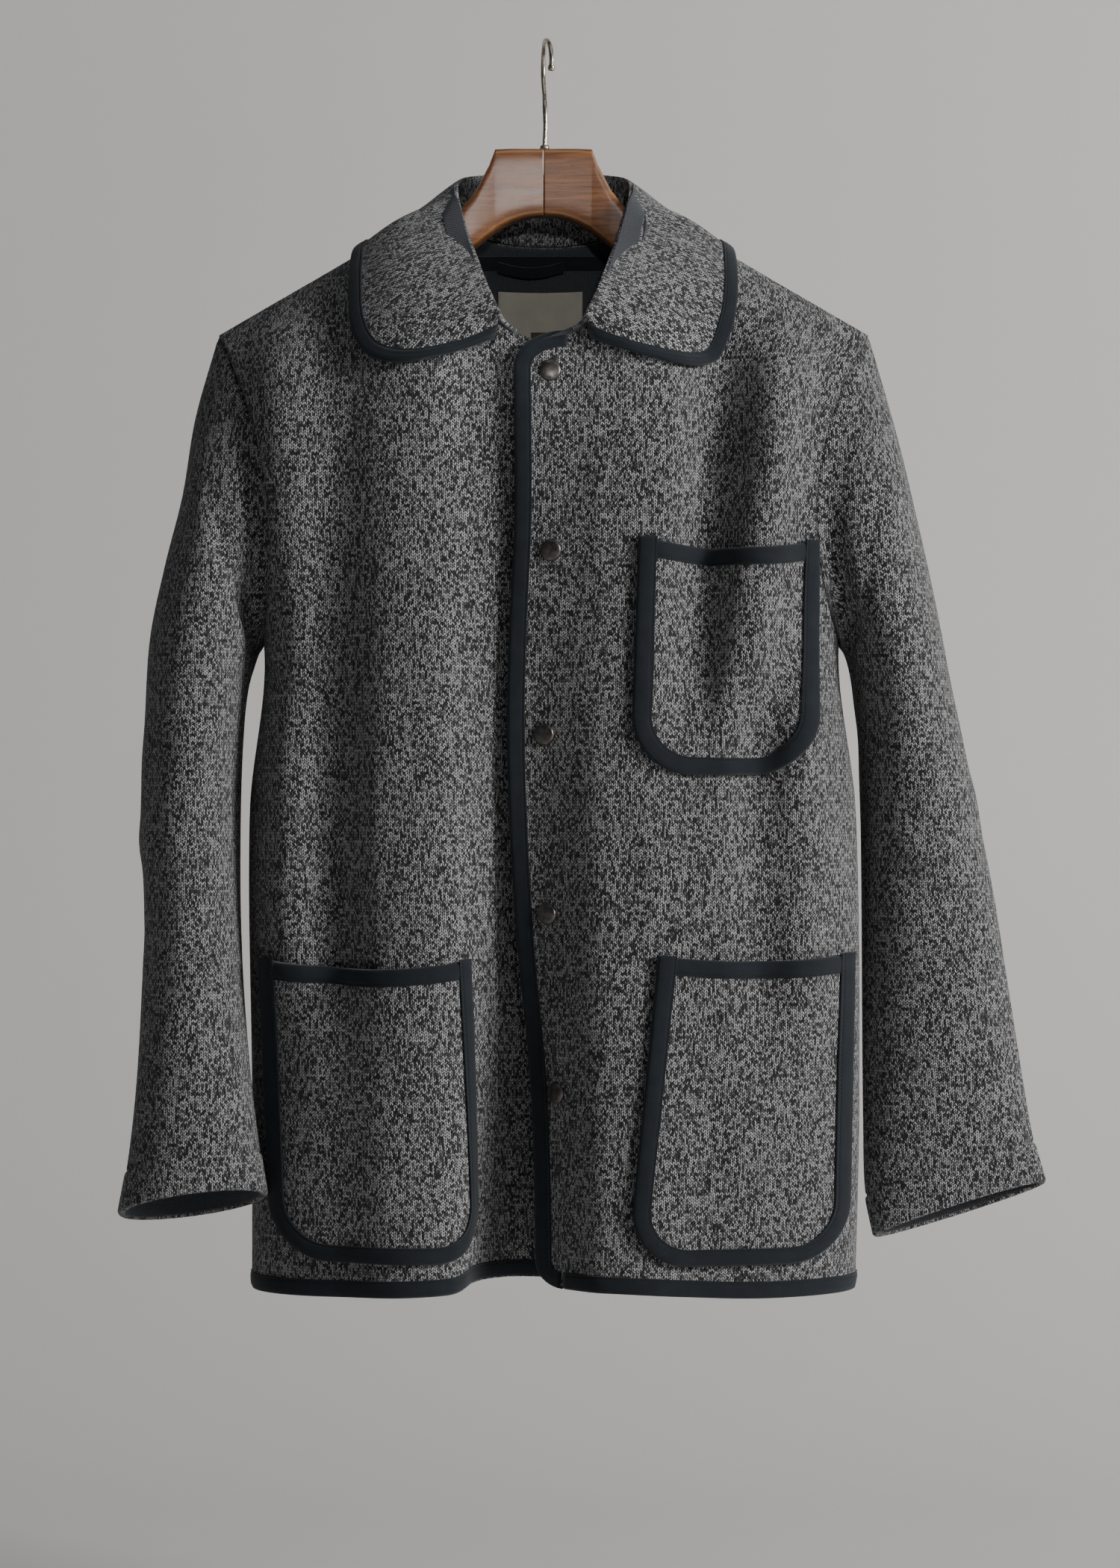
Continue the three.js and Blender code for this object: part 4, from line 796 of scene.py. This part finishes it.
def sleeve(name):
    """Tube from the armhole loop to the cuff.

    A ring is an ellipse: its middle, plus the reach to its outermost point times the cosine, plus its
    half depth forwards times the sine. Curves run through the rings at every angle. The cloth goes
    over the outer face, round the folded cuff edge in a half circle, and back up the inner face.
    """
    angle = np.linspace(-np.pi, np.pi, 113)[:-1]
    cos, sin = np.cos(angle)[None, :, None], np.sin(angle)[None, :, None]
    is_front = (angle >= 0)[:, None]
    loop = np.where(is_front, armhole(name, angle, True), armhole(name, angle, False))
    out_x, out_z, in_x, in_z, y, deep = (np.array(SLEEVES[name], float)[:, k, None, None] for k in range(6))
    axis_x, axis_y, axis_z = np.eye(3)
    middle = (out_x + in_x) / 2 * axis_x + y * axis_y + (out_z + in_z) / 2 * axis_z
    reach = (out_x - in_x) / 2 * axis_x + (out_z - in_z) / 2 * axis_z
    rings = middle + reach * cos - deep * sin * axis_y
    tilt = CUFF_TILT[name] * smoothstep(np.arange(len(rings)), 6.5, 10.0)
    rings = rings + tilt[:, None, None] * sin * axis_z
    t = np.concatenate([np.linspace(0, 9.6, 100)[:-1], np.linspace(9.6, 11, 60)])
    outer = smooth_through(np.concatenate([loop[None], rings]), t)
    centre = outer.mean(axis=1, keepdims=True)
    normals = normals_of(outer, outer - centre, True)
    from_cuff = lengths(outer[::-1], 0)[::-1]
    relief = np.zeros(outer.shape[:2])
    turn = np.degrees(angle)[None, :]
    for at, length, wide, high, out, lean in SLEEVE_CREASES[name]:
        off = (turn - at + 180) % 360 - 180
        relief += out * bell(off / wide) * bell((from_cuff - length - lean * off) / high)
    stitch = bell((from_cuff - CUFF_HEM) / 2.2)
    hem = smoothstep(from_cuff, CUFF_HEM + 4, CUFF_HEM - 5)
    relief += 0.9 * hem - 1.3 * stitch
    from_seam = lengths(outer, 0)
    relief -= 0.8 * bell(from_seam / 5) + 10 * bell((from_seam - 12) / 24) * bell((turn - 105) / 75)
    outer = outer + normals * relief[..., None]
    thick = (WALL + (CUFF_WALL - WALL) * smoothstep(from_cuff, CUFF_HEM + 4, CUFF_HEM - 3))[..., None]
    inner = outer - normals * thick
    down = outer[-1] - outer[-2]
    down /= np.linalg.norm(down, axis=-1, keepdims=True)
    half_turn = np.linspace(0, np.pi, 9)[1:-1, None, None]
    rim = (outer[-1] + inner[-1]) / 2 + thick[-1] / 2 * (normals[-1] * np.cos(half_turn) + down * np.sin(half_turn))
    shell = np.concatenate([outer, rim, inner[::-1]])
    # Painted shade: the seam field darkens the cloth along the cuff's stitch line, the armhole seam and the underarm
    # seam.
    seam = stitch * 0.8 + bell(from_seam / 3) + bell((np.abs(turn) - 180) / 2.6)
    seam = np.concatenate([seam, np.zeros((len(rim) + len(inner), len(angle)))])
    inside = np.concatenate([np.zeros((len(outer) + len(rim), len(angle))), np.ones((len(inner), len(angle)))])
    rows, columns = shell.shape[:2]
    index = np.arange(rows * columns).reshape(rows, columns)
    closed = np.concatenate([outer, outer[:, :1]], axis=1)
    front = 84
    around = lengths(closed * np.array([1, 1, 0]), 1)
    turned = 1 if name == "right" else -1
    lean = np.polyfit(closed[40:, front, 2], closed[40:, front, 0], 1)
    u = turned * (around - around[:, [front]]) + (closed[:, front, 0] - np.polyval(lean, closed[:, front, 2]))[:, None]
    uv = np.stack([u, closed[..., 2] * 1.02], axis=-1)
    edge_uv = uv[-1:] + np.linspace(0, CUFF_WALL * 1.5, 9)[1:-1, None, None] * np.array([0, 1])
    shell_uv = np.concatenate([uv, edge_uv, uv[::-1]])
    index = np.concatenate([index, index[:, :1]], axis=1)
    index = np.concatenate([index, index[:1]])
    shell_uv = np.concatenate([shell_uv, shell_uv[:1]])
    obj = piece(
        f"knit_sleeve_{name}", shell.reshape(-1, 3), quads(index), KNIT, quads(shell_uv), inside=inside, seam=seam)
    return obj, closed


# Collar

def collar_grid(columns, rows):
    """Bent cloth: at each angle round the neck seam a smooth curve goes from the seam up the stand,
    over the roll line and down to the leaf's edge, which rests on the body."""
    degrees = np.concatenate([np.linspace(-74, 90, columns), np.linspace(90, -74, columns)[1:]])
    side = np.concatenate([np.ones(columns), -np.ones(columns - 1)])
    turn = np.radians(np.abs(degrees))
    lift = WALL + TAPE_OFF + TAPE + 1.6

    def on_body(x, z, out):
        front, back = body(x, z, True, out), body(x, z, False, out)
        blend = smoothstep(degrees, -9, 9)[:, None]
        return front * (1 - blend) + back * blend

    low_z = np.where(degrees < 0, NECK_FRONT_Z, NECK_BACK_Z)
    seam_x = side * NECK_HALF * np.cos(turn)
    seam_z = SHOULDER_NECK_Z - (SHOULDER_NECK_Z - low_z) * np.sin(turn)
    seam = on_body(seam_x, seam_z, 1.2)
    seam[:, 0] -= np.sign(seam_x) * np.minimum(2.6, np.abs(seam_x))
    seam[:, 1] += np.where(degrees < 0, 1.8, -1.8) * np.sin(turn)
    seam[:, 1] *= smoothstep(np.abs(degrees), 0, 6)
    roll = np.stack([side * along(COLLAR, 1, degrees), along(COLLAR, 2, degrees), along(COLLAR, 3, degrees)], -1)
    stand = (seam + roll) / 2
    leaf = on_body(side * along(COLLAR, 4, degrees), along(COLLAR, 5, degrees), lift)
    half = roll * 0.45 + leaf * 0.55
    under = on_body(half[:, 0], np.minimum(half[:, 2], shoulder_z(half[:, 0]) - 0.5), lift + 1.5)
    front = np.minimum(half[:, 1], under[:, 1])
    back = np.maximum(half[:, 1], under[:, 1])
    blend = smoothstep(degrees, -9, 9)
    half[:, 1] = front * (1 - blend) + back * blend
    half[:, 2] = np.maximum(half[:, 2], under[:, 2]) + 1
    return smooth_through(np.stack([seam, stand, roll, half, leaf]), np.linspace(0, 4, rows))


# Tape

def tape_section(wrap):
    """Section of the tape as distance in from the edge and height over the cloth, in two lists: the
    visible face, from its sewn edge over the cloth's edge, and the underside."""
    face = [(TAPE_WIDE, 0.1), (9.95, 0.8), (9.6, TAPE), (9.0, TAPE - 0.05), (8.5, TAPE - 0.3), (8.0, TAPE),
            (6.5, TAPE + 0.2), (4.5, TAPE + 0.3), (2.5, TAPE + 0.25), (1.2, TAPE + 0.1)]
    radius = WALL / 2 + TAPE
    turns = np.radians(np.linspace(70, -70 if wrap else -20, 9))
    face += [(0.7 - radius * math.cos(a), -WALL / 2 + radius * math.sin(a)) for a in turns]
    if wrap:
        face += [(1.2, -WALL - TAPE), (5.0, -WALL - TAPE - 0.2), (9.4, -WALL - TAPE), (TAPE_WIDE, -WALL - 0.1)]
        under = [(5.0, -WALL + 0.2), (0.6, -WALL + 0.3), (0.4, -0.3), (5.0, -0.2)]
    else:
        face += [(-radius + 0.7, -WALL - 0.3)]
        under = [(0.5, -WALL - 0.3), (0.6, -0.3), (5.0, -0.2)]
    return np.array(face), np.array(under)


def tape(name, place, length, wrap, material=None):
    """Tape along an edge: its section is carried along the edge's stations.

    place gives the points at a distance in from the edge and a height over the cloth, for all
    stations at once, and length is the distance gone at each station.
    """
    face, under = tape_section(wrap)
    section = np.concatenate([face, under])
    grid = np.stack([place(w, up) for w, up in section], axis=1)
    across = np.concatenate([[0], np.cumsum(np.linalg.norm(np.diff(section, axis=0), axis=-1))])
    stations, count = grid.shape[:2]
    index = np.arange(stations * count).reshape(stations, count)
    around = np.concatenate([index, index[:, :1]], axis=1)
    uv = np.stack(np.broadcast_arrays(length[:, None], np.append(across, across[-1] + 1)[None, :]), axis=-1)
    points = np.concatenate([grid.reshape(-1, 3), grid[[0, -1]].mean(axis=1)])
    first, last = stations * count, stations * count + 1
    ends = caps(around, first, last)
    faces = np.concatenate([quads(around), *ends])
    flat_uv = np.full((sum(map(len, ends)), 4, 2), (0.0, 5.0))
    return piece(name, points, faces, material or TAPE_CLOTH, np.concatenate([quads(uv), flat_uv]))


def edge_frame(line, turn):
    """Way off the cloth at each point of a line in x, z: the line's direction turned by a right angle."""
    run = np.gradient(line, axis=0)
    run /= np.linalg.norm(run, axis=-1, keepdims=True)
    return turn * np.stack([-run[:, 1], run[:, 0]], axis=-1)


def body_tape(name, line, turn, is_front, wrap=True, out=0.0, layer=None):
    """Tape on an edge that lies on the body: its sides are found on the body's face."""
    line = resample(line, 2.6)
    off = edge_frame(line, turn)
    gone = lengths(line[:, None], 0)[:, 0]

    def place(w, up):
        x, z = line[:, 0] - off[:, 0] * w, line[:, 1] - off[:, 1] * w
        height = out(x, z) if callable(out) else out
        return body(x, z, is_front, height + up - (0 if layer is None else layer(x, z)))

    return tape(name, place, gone, wrap)


def grid_tape(name, grid, normals, wrap=True):
    """Tape on the last row of a grid: its sides are found along the grid's columns."""
    gone = lengths(grid[::-1], 0)
    lines, ups = grid[::-1], normals[::-1]
    columns = np.arange(grid.shape[1])
    edge = lines[0]

    def place(w, up):
        if w <= 0:
            off = lines[0] - lines[1]
            off /= np.linalg.norm(off, axis=-1, keepdims=True)
            return edge - off * w + ups[0] * up
        row = np.argmax(gone >= w, axis=0)
        row = np.where(gone[-1] < w, len(lines) - 1, np.maximum(row, 1))
        share = ((w - gone[row - 1, columns]) / np.maximum(gone[row, columns] - gone[row - 1, columns], 1e-6))[:, None]
        at = lines[row - 1, columns] * (1 - share) + lines[row, columns] * share
        normal = ups[row - 1, columns] * (1 - share) + ups[row, columns] * share
        return at + normal * up

    return tape(name, place, lengths(edge[:, None], 0)[:, 0], wrap)


# Patch pockets

def pocket_place(name, s, t):
    """Place on a patch pocket: the top edge sags, and the lower corners are quarter circles."""
    top, sag, foot, top_left, top_right, foot_left, foot_right, radius = POCKETS[name]
    share = radius / (top - foot)
    straight = 0.62
    turn = (t - straight) / (1 - straight) * (np.pi / 2)
    down = np.where(t < straight, t / straight * (1 - share), 1 - share * np.cos(np.clip(turn, 0, np.pi / 2)))
    z = top + (foot - top) * down
    u = np.clip((foot + radius - z) / radius, 0, 1)
    inset = radius * (1 - np.sqrt(1 - u * u))
    left = top_left + (foot_left - top_left) * down
    right = top_right + (foot_right - top_right) * down
    x = left + (right - left) * s + inset * ((1 - s) ** 2 - s ** 2)
    return x, z - sag * np.sin(np.pi * s) * (1 - down) ** 2


def pocket_stand(name, x, z):
    """How far the pocket cloth stands off the front: a hair, and more along its open top."""
    top, _, foot, top_left, top_right, *_ = POCKETS[name]
    across = np.clip((x - top_left) / (top_right - top_left), 0, 1)
    down = np.clip((top - z) / (top - foot), 0, 1)
    return POCKET_OFF + POCKET_OPEN[name] * np.sin(np.pi * across) * np.maximum(0, 1 - down * 2.2) ** 2


def pocket(name):
    """Patch on the front with tape round its sides and foot, and tape along its top."""
    layer = under_layer if name == "lower_pocket_right" else no_layer
    s, t = np.linspace(0, 1, 61)[None, :], np.linspace(0, 1, 81)[:, None]
    x, z = np.broadcast_arrays(*pocket_place(name, s, t))
    stand = pocket_stand(name, x, z) - layer(x, z)
    outer, inner = body(x, z, True, stand + WALL), body(x, z, True, stand)
    cloth = wall(f"knit_{name}", outer, inner, cloth_uv(outer, True) + np.array([11.3, 4.1]), KNIT)

    def out(x, z):
        return pocket_stand(name, x, z) + WALL - layer(x, z)

    side = np.linspace(0, 1, 300)
    left = np.stack(np.broadcast_arrays(*pocket_place(name, np.zeros(300), side)), -1)
    foot = np.stack(np.broadcast_arrays(*pocket_place(name, np.linspace(0, 1, 120), np.ones(120))), -1)
    right = np.stack(np.broadcast_arrays(*pocket_place(name, np.ones(300), side[::-1])), -1)
    ear = np.array([[0.0, 2.6]])
    line = np.concatenate([left[:1] + ear, left[1:], foot[1:-1], right[:-1], right[-1:] + ear])

    def over_top(x, z):
        return out(x, z) + 0.7

    round_tape = body_tape(f"tape_{name}_round", line, -1, True, wrap=False, out=over_top)
    top = np.stack(np.broadcast_arrays(*pocket_place(name, np.linspace(0.04, 0.96, 120), np.zeros(120))), -1)
    top_tape = body_tape(f"tape_{name}_top", top, 1, True, wrap=False, out=out)
    return cloth, outer, round_tape, top_tape


# Snaps, hanger and hook

def lathe(name, profile, at, axis, material, turns=48, **fields):
    """Turned piece: a profile of radius and height, carried round an axis."""
    profile = np.array(profile, float)
    axis = axis / np.linalg.norm(axis)
    across = np.cross(axis, [0.0, 0.0, 1.0] if abs(axis[2]) < 0.9 else [1.0, 0.0, 0.0])
    across /= np.linalg.norm(across)
    other = np.cross(axis, across)
    angle = np.linspace(0, 2 * np.pi, turns + 1)[:-1]
    round_it = np.cos(angle)[:, None] * across + np.sin(angle)[:, None] * other
    radius, height = np.maximum(profile[:, 0], 0.02), profile[:, 1]
    rings = at + radius[:, None, None] * round_it + height[:, None, None] * axis
    index = np.arange(len(profile) * turns).reshape(len(profile), turns)
    around = np.concatenate([index, index[:, :1]], axis=1)
    poles = np.stack([at + height[0] * axis, at + height[-1] * axis])
    first = len(profile) * turns
    faces = np.concatenate([quads(around), *caps(around, first, first + 1)])
    return piece(name, np.concatenate([rings.reshape(-1, 3), poles]), faces, material, **fields)


def snap(number, x, z):
    """Cap with a low dome and a rolled rim, and the stud half between the two fronts."""
    face = body(x, z, True)
    step = 2.0
    near = body(np.array([x - step, x + step, x, x]), np.array([z, z, z - step, z + step]), True)
    axis = np.cross(near[1] - near[0], near[3] - near[2])
    axis = axis / np.linalg.norm(axis)
    axis = -axis if axis[1] > 0 else axis
    r = SNAP_RADIUS
    dome = [(r * math.cos(a) * 0.93, 2.0 + 1.5 * math.sin(a)) for a in np.radians(np.linspace(10, 88, 12))]
    rim = [(r - 1.2, -0.6), (r - 0.3, -0.2), (r, 0.7), (r - 0.05, 1.3), (r - 0.3, 1.75), (r * 0.945, 1.95)]
    cap = lathe(f"snap_cap_metal_{number}", [(0.1, -0.6), *rim, *dome], face, axis, SNAP_METAL)
    mid = -(LAP + WALL) / 2
    stud = [(0.1, mid - 1.9), (3.6, mid - 1.9), (4.0, mid - 1.5), (4.0, mid + 1.4), (3.4, mid + 1.9), (0.1, mid + 1.9)]
    post = lathe(f"snap_stud_metal_{number}", stud, face, axis, SNAP_METAL, turns=24)
    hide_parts(f"snap_cap_{number}")
    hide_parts(f"snap_stud_{number}")
    return cap


def hanger_half(name, side):
    """Lofted arm: at each place along it a rounded box section, which grows rounder outwards."""
    t = np.concatenate([np.linspace(0, 3, 30)[:-1], np.linspace(3, 11, 110)])
    x, top, low, deep = (np.interp(t, np.arange(len(HANGER)), HANGER[:, k]) for k in range(4))
    smooth = np.hanning(11) / np.hanning(11).sum()
    top[34:-6] = np.convolve(top, smooth, "same")[34:-6]
    low[8:-6] = np.convolve(low, smooth, "same")[8:-6]
    count = 96
    angle = (np.arange(count) + 0.5) / count * 2 * np.pi
    cos, sin = np.cos(angle), np.sin(angle)
    power = (0.30 + 0.5 * smoothstep(x, 30, 110))[:, None]
    y = deep[:, None] * np.sign(cos) * np.abs(cos) ** power
    z = ((top + low) / 2)[:, None] + ((top - low) / 2)[:, None] * np.sign(sin) * np.abs(sin) ** power
    x = side * np.maximum(x, 0.25)[:, None] * np.ones((1, count))
    points = np.stack([x, y, z], axis=-1)
    rings = len(points)
    middle = points.mean(axis=1)
    index = np.arange(rings * count).reshape(rings, count)
    around = np.concatenate([index, index[:, :1]], axis=1)
    ends = caps(around, rings * count, rings * count + 1)
    # Painted highlight: the edge field is high on the section's corners over the middle of the hanger, and the wood's
    # colour is lightened there.
    corner = np.exp(-((np.abs(np.abs(cos) - np.abs(sin)) / 0.16) ** 2))
    edge = corner * smoothstep(x[:, 0], -140, -100)[:, None] * smoothstep(-x[:, 0], -140, -100)[:, None]
    obj = piece(
        f"wood_{name}", np.concatenate([points.reshape(-1, 3), middle[[0, -1]]]),
        np.concatenate([quads(around), *ends]), WOOD, edge=np.append(edge.ravel(), [0, 0]))
    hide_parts(name)
    return obj


def hook():
    """Wire along a smooth path: straight stem, then a round bow, with a small ball on its end."""
    radius = 18.0
    turn = np.radians(np.linspace(-40, 200, 10))
    aside = np.where(np.cos(turn) > 0, 1.5, 4.5)
    bow = np.stack([1.2 - aside * np.cos(turn), radius * np.cos(turn), HOOK_WIRE / 2 - radius + radius * np.sin(turn)], -1)
    stem = np.array([[0.8, 0, HANGER[0, 1] + 2.0], [1.1, 0, -66], [1.4, 0, -58], [0.9, 2, -44], [0.6, 9, -35]])
    path = smooth_through(np.concatenate([stem, bow]), np.linspace(0, 14, 260))
    run = np.gradient(path, axis=0)
    run /= np.linalg.norm(run, axis=-1, keepdims=True)
    across = np.cross(run, [1.0, 0.0, 0.0])
    across /= np.linalg.norm(across, axis=-1, keepdims=True)
    other = np.cross(run, across)
    gone = lengths(path[:, None], 0)[:, 0]
    left = gone[-1] - gone
    thick = HOOK_WIRE / 2 * np.where(left < 4.4, 1 + 0.45 * np.sqrt(np.clip(1 - ((left - 2.2) / 2.2) ** 2, 0, 1)), 1)
    thick[-1] *= 0.3
    count = 20
    angle = np.arange(count) / count * 2 * np.pi
    rings = path[:, None] + thick[:, None, None] * (
        np.cos(angle)[None, :, None] * across[:, None] + np.sin(angle)[None, :, None] * other[:, None])
    index = np.arange(len(path) * count).reshape(len(path), count)
    around = np.concatenate([index, index[:, :1]], axis=1)
    ends = caps(around, len(path) * count, len(path) * count + 1)
    obj = piece(
        "wire_hook", np.concatenate([rings.reshape(-1, 3), path[[0, -1]]]), np.concatenate([quads(around), *ends]),
        HOOK_METAL)
    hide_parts("hook")
    return obj


def inside_back(name, node, left, right, top, low, off, thick, material, sag=0.0, bow=0.0):
    """Small flat piece on the inner face of the back, which may sag and stand off in its middle."""
    s, t = np.linspace(0, 1, 49)[None, :], np.linspace(0, 1, 25)[:, None]
    x = left + (right - left) * s + 0 * t
    z = top + (low - top) * t - sag * np.sin(np.pi * s)
    stand = off + bow * np.sin(np.pi * s) * np.ones_like(t)
    outer, inner = body(x, z, False, -stand - thick), body(x, z, False, -stand)
    uv = np.stack(np.broadcast_arrays(x, z), -1)
    obj = wall(name, outer, inner, uv, material)
    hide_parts(node)
    return obj


# The jacket

def no_layer(x, z=0.0):
    return np.zeros(np.broadcast(x, z).shape)


left_grid, right_grid, back_grid = fronts_and_back()
left_front = panel("knit_front_left", left_grid, True)
right_front = panel("knit_front_right", right_grid, True)
back = panel("knit_back", back_grid, False)
sleeve_right, sleeve_right_grid = sleeve("right")
sleeve_left, sleeve_left_grid = sleeve("left")

collar_cloth = collar_grid(76, 49)
all_normals = normals_of(collar_cloth, np.zeros(3))
if np.sum(all_normals[-6] * (collar_cloth[-6] - np.array([0, 0, -220.0]))) < 0:
    all_normals = -all_normals
collar_place = np.stack([
    lengths(collar_cloth[[30]], 1)[0][None, :] * np.ones((49, 1)), -lengths(collar_cloth, 0)], axis=-1)
collar = wall("knit_collar", collar_cloth, collar_cloth - all_normals * WALL, collar_place, KNIT)
collar_tape = grid_tape("tape_collar", collar_cloth, all_normals)

edge_z = np.linspace(0, 1, 900)
edge_z = 0.5 - 0.5 * np.cos(np.pi * edge_z)


def front_edge_line():
    foot = float(hem_z(front_edge_x(-870.0), True))
    z = foot + (NECK_FRONT_Z + 2.5 - foot) * edge_z
    return np.stack([front_edge_x(z) + corner_inset(z, foot, NECK_FRONT_Z + 2.5), z], -1)


left_edge_tape = body_tape("tape_front_edge_left", front_edge_line(), 1, True)
under_z = np.linspace(-868.0, NECK_FRONT_Z + 2.0, 300)
right_edge_tape = body_tape(
    "tape_front_edge_right", np.stack([np.full(300, FRONT_EDGE_UNDER_X), under_z], -1), -1, True, layer=under_layer)


def hem_tape(name, grid, is_front, layer, reach):
    """Tape on the hem of a panel, from one side seam to the other or to the centre edge."""
    line = grid[0][1:-1, [0, 2]]
    return body_tape(name, line[reach(line[:, 0])], -1 if line[0, 0] < line[-1, 0] else 1, is_front, layer=layer)


hem_left = hem_tape("tape_hem_left", left_grid, True, no_layer, lambda x: x > 12)
hem_right = hem_tape("tape_hem_right", right_grid, True, under_layer, lambda x: x < 13)
hem_back = hem_tape("tape_hem_back", back_grid, False, no_layer, lambda x: x > -400)

pockets = {name: pocket(name) for name in POCKETS}
snaps = [snap(k + 1, x, z) for k, (x, z) in enumerate(SNAPS)]
hangers = [hanger_half("hanger_left", 1), hanger_half("hanger_right", -1)]
wire = hook()
ferrule = lathe(
    "ferrule_collar", [(0.1, 0.2), (3.2, 0.2), (3.5, 0.6), (3.5, 2.2), (3.0, 3.0), (2.2, 3.5), (0.1, 3.6)],
    np.array([0.8, 0.0, HANGER[0, 1]]), np.array([0.0, 0.0, 1.0]), HOOK_METAL)
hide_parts("ferrule")

neck_tape = inside_back("tape_neck", "neck_tape", -52, 52, -143, -152, WALL + 0.4, 0.9, TAPE_CLOTH)
hang_loop = inside_back("tape_hang_loop", "hang_loop", -33, 14, -146, -153, WALL + 1.6, 1.3, TAPE_CLOTH, 3, 2.2)
label = inside_back("blank_label", "label", -32.7, 27.6, -167, -199.5, WALL + 0.5, 0.7, LABEL_CLOTH, 0.6, 0.8)
size_tab = inside_back("blank_size_tab", "size_tab", -9.4, 1.9, -195, -206, WALL + 2.2, 0.5, TAB_CLOTH)

for made, nodes in [
    (left_front, ["front_left"]), (right_front, ["front_right"]), (back, ["back"]),
    (sleeve_right, ["sleeve_right"]), (sleeve_left, ["sleeve_left"]), (collar, ["collar"]),
    *[(pockets[name][0], [name]) for name in POCKETS],
]:
    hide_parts(*nodes)
for made, nodes in [
    (collar_tape, ["collar_binding"]), (left_edge_tape, ["front_edge_binding_left"]),
    (right_edge_tape, ["front_edge_binding_right"]), (hem_left, ["hem_binding_left"]),
    (hem_right, ["hem_binding_right"]), (hem_back, ["hem_binding_back"]),
    *[(pockets[name][2], [f"{name}_binding"]) for name in POCKETS],
    *[(pockets[name][3], [f"{name}_top_binding"]) for name in POCKETS],
]:
    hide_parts(*nodes)

declare(left_front, left_grid, [left_edge_tape, hem_left, *snaps])
declare(right_front, right_grid, [right_edge_tape, hem_right])
declare(back, back_grid, [hem_back, neck_tape, hang_loop, label, size_tab])
declare(sleeve_right, sleeve_right_grid)
declare(sleeve_left, sleeve_left_grid)
declare(collar, collar_cloth, [collar_tape])
for name, front in [("chest_pocket", left_front), ("lower_pocket_left", left_front), ("lower_pocket_right", right_front)]:
    cloth, grid, *tapes = pockets[name]
    declare(cloth, grid, tapes)


# Floor, lights and camera

FLOOR_Z = -1180.0


def studio():
    """Pale floor that rises into a wall behind in a quarter circle."""
    across = np.linspace(-6000, 6000, 3)[None, :]
    bend = np.radians(np.linspace(0, 90, 13))[:, None]
    y = np.concatenate([np.full((1, 1), -6000.0), 900 + 700 * np.sin(bend), np.full((1, 1), 1600.0)])
    z = np.concatenate([np.full((1, 1), FLOOR_Z), FLOOR_Z + 700 * (1 - np.cos(bend)), np.full((1, 1), 3200.0)])
    grid = np.stack(np.broadcast_arrays(across, y, z), -1)
    mesh = bpy.data.meshes.new("pale_floor")
    index = np.arange(grid[..., 0].size).reshape(grid.shape[:2])
    mesh.from_pydata((grid.reshape(-1, 3) * MM).tolist(), [], quads(index).tolist())
    mesh.polygons.foreach_set("use_smooth", np.ones(len(mesh.polygons), bool))
    mesh.materials.append(pale_floor())
    floor = bpy.data.objects.new("pale_floor", mesh)
    bpy.context.collection.objects.link(floor)


def aimed(place, aim):
    """Turn that points a lamp's -Z from its place at an aim."""
    way = np.array(aim, float) - np.array(place, float)
    return math.acos(-way[2] / np.linalg.norm(way)), 0, math.atan2(way[1], way[0]) - math.pi / 2


def area_light(name, place, aim, size, watts, colour):
    data = bpy.data.lights.new(name, "AREA")
    data.shape, data.size, data.size_y = "RECTANGLE", *size
    data.energy, data.color = watts, colour
    lamp = bpy.data.objects.new(name, data)
    lamp.location = place
    lamp.rotation_euler = aimed(place, aim)
    bpy.context.collection.objects.link(lamp)


studio()
area_light("key", (4.0, -2.5, 1.0), (0, 0, -0.5), (1.4, 1.4), 225, (1.0, 0.985, 0.96))
area_light("fill", (-2.2, -2.8, -0.3), (0, 0, -0.5), (2.0, 2.0), 1.5, (0.94, 0.97, 1.0))
area_light("top", (0.2, -0.6, 1.4), (0, 0, -0.5), (1.4, 1.2), 3, (1.0, 1.0, 1.0))
area_light("back", (-2.0, 3.2, 0.9), (0, 0, -0.5), (1.6, 1.6), 75, (1.0, 0.985, 0.96))
neck_data = bpy.data.lights.new("neck", "SPOT")
neck_data.energy, neck_data.spot_size, neck_data.spot_blend = 380, math.radians(2.6), 0.8
neck_data.shadow_soft_size = 0.12
neck_lamp = bpy.data.objects.new("neck", neck_data)
neck_lamp.location = (0.3, -3.0, 0.25)
neck_lamp.rotation_euler = aimed((0.3, -3.0, 0.25), (-0.002, 0.07, -0.182))
bpy.context.collection.objects.link(neck_lamp)
world = bpy.data.worlds.new("studio")
world.use_nodes = True
world.node_tree.nodes["Background"].inputs["Color"].default_value = (0.9, 0.93, 1.0, 1)
sky = world.node_tree.nodes["Background"]
sky.inputs["Strength"].default_value = 0.045
bpy.context.scene.world = world

CAMERA_AWAY = 3.0
FRAME_HIGH = 1.1025
camera_data = bpy.data.cameras.new("camera")
camera_data.sensor_width = 36.0
camera_data.lens = camera_data.sensor_width * CAMERA_AWAY / FRAME_HIGH
camera = bpy.data.objects.new("camera", camera_data)
camera.location = (0.0115, -CAMERA_AWAY, -0.5208)
camera.rotation_euler = (math.pi / 2, 0, 0)
bpy.context.collection.objects.link(camera)
bpy.context.scene.camera = camera

print("cuts", json.dumps(CUTS))
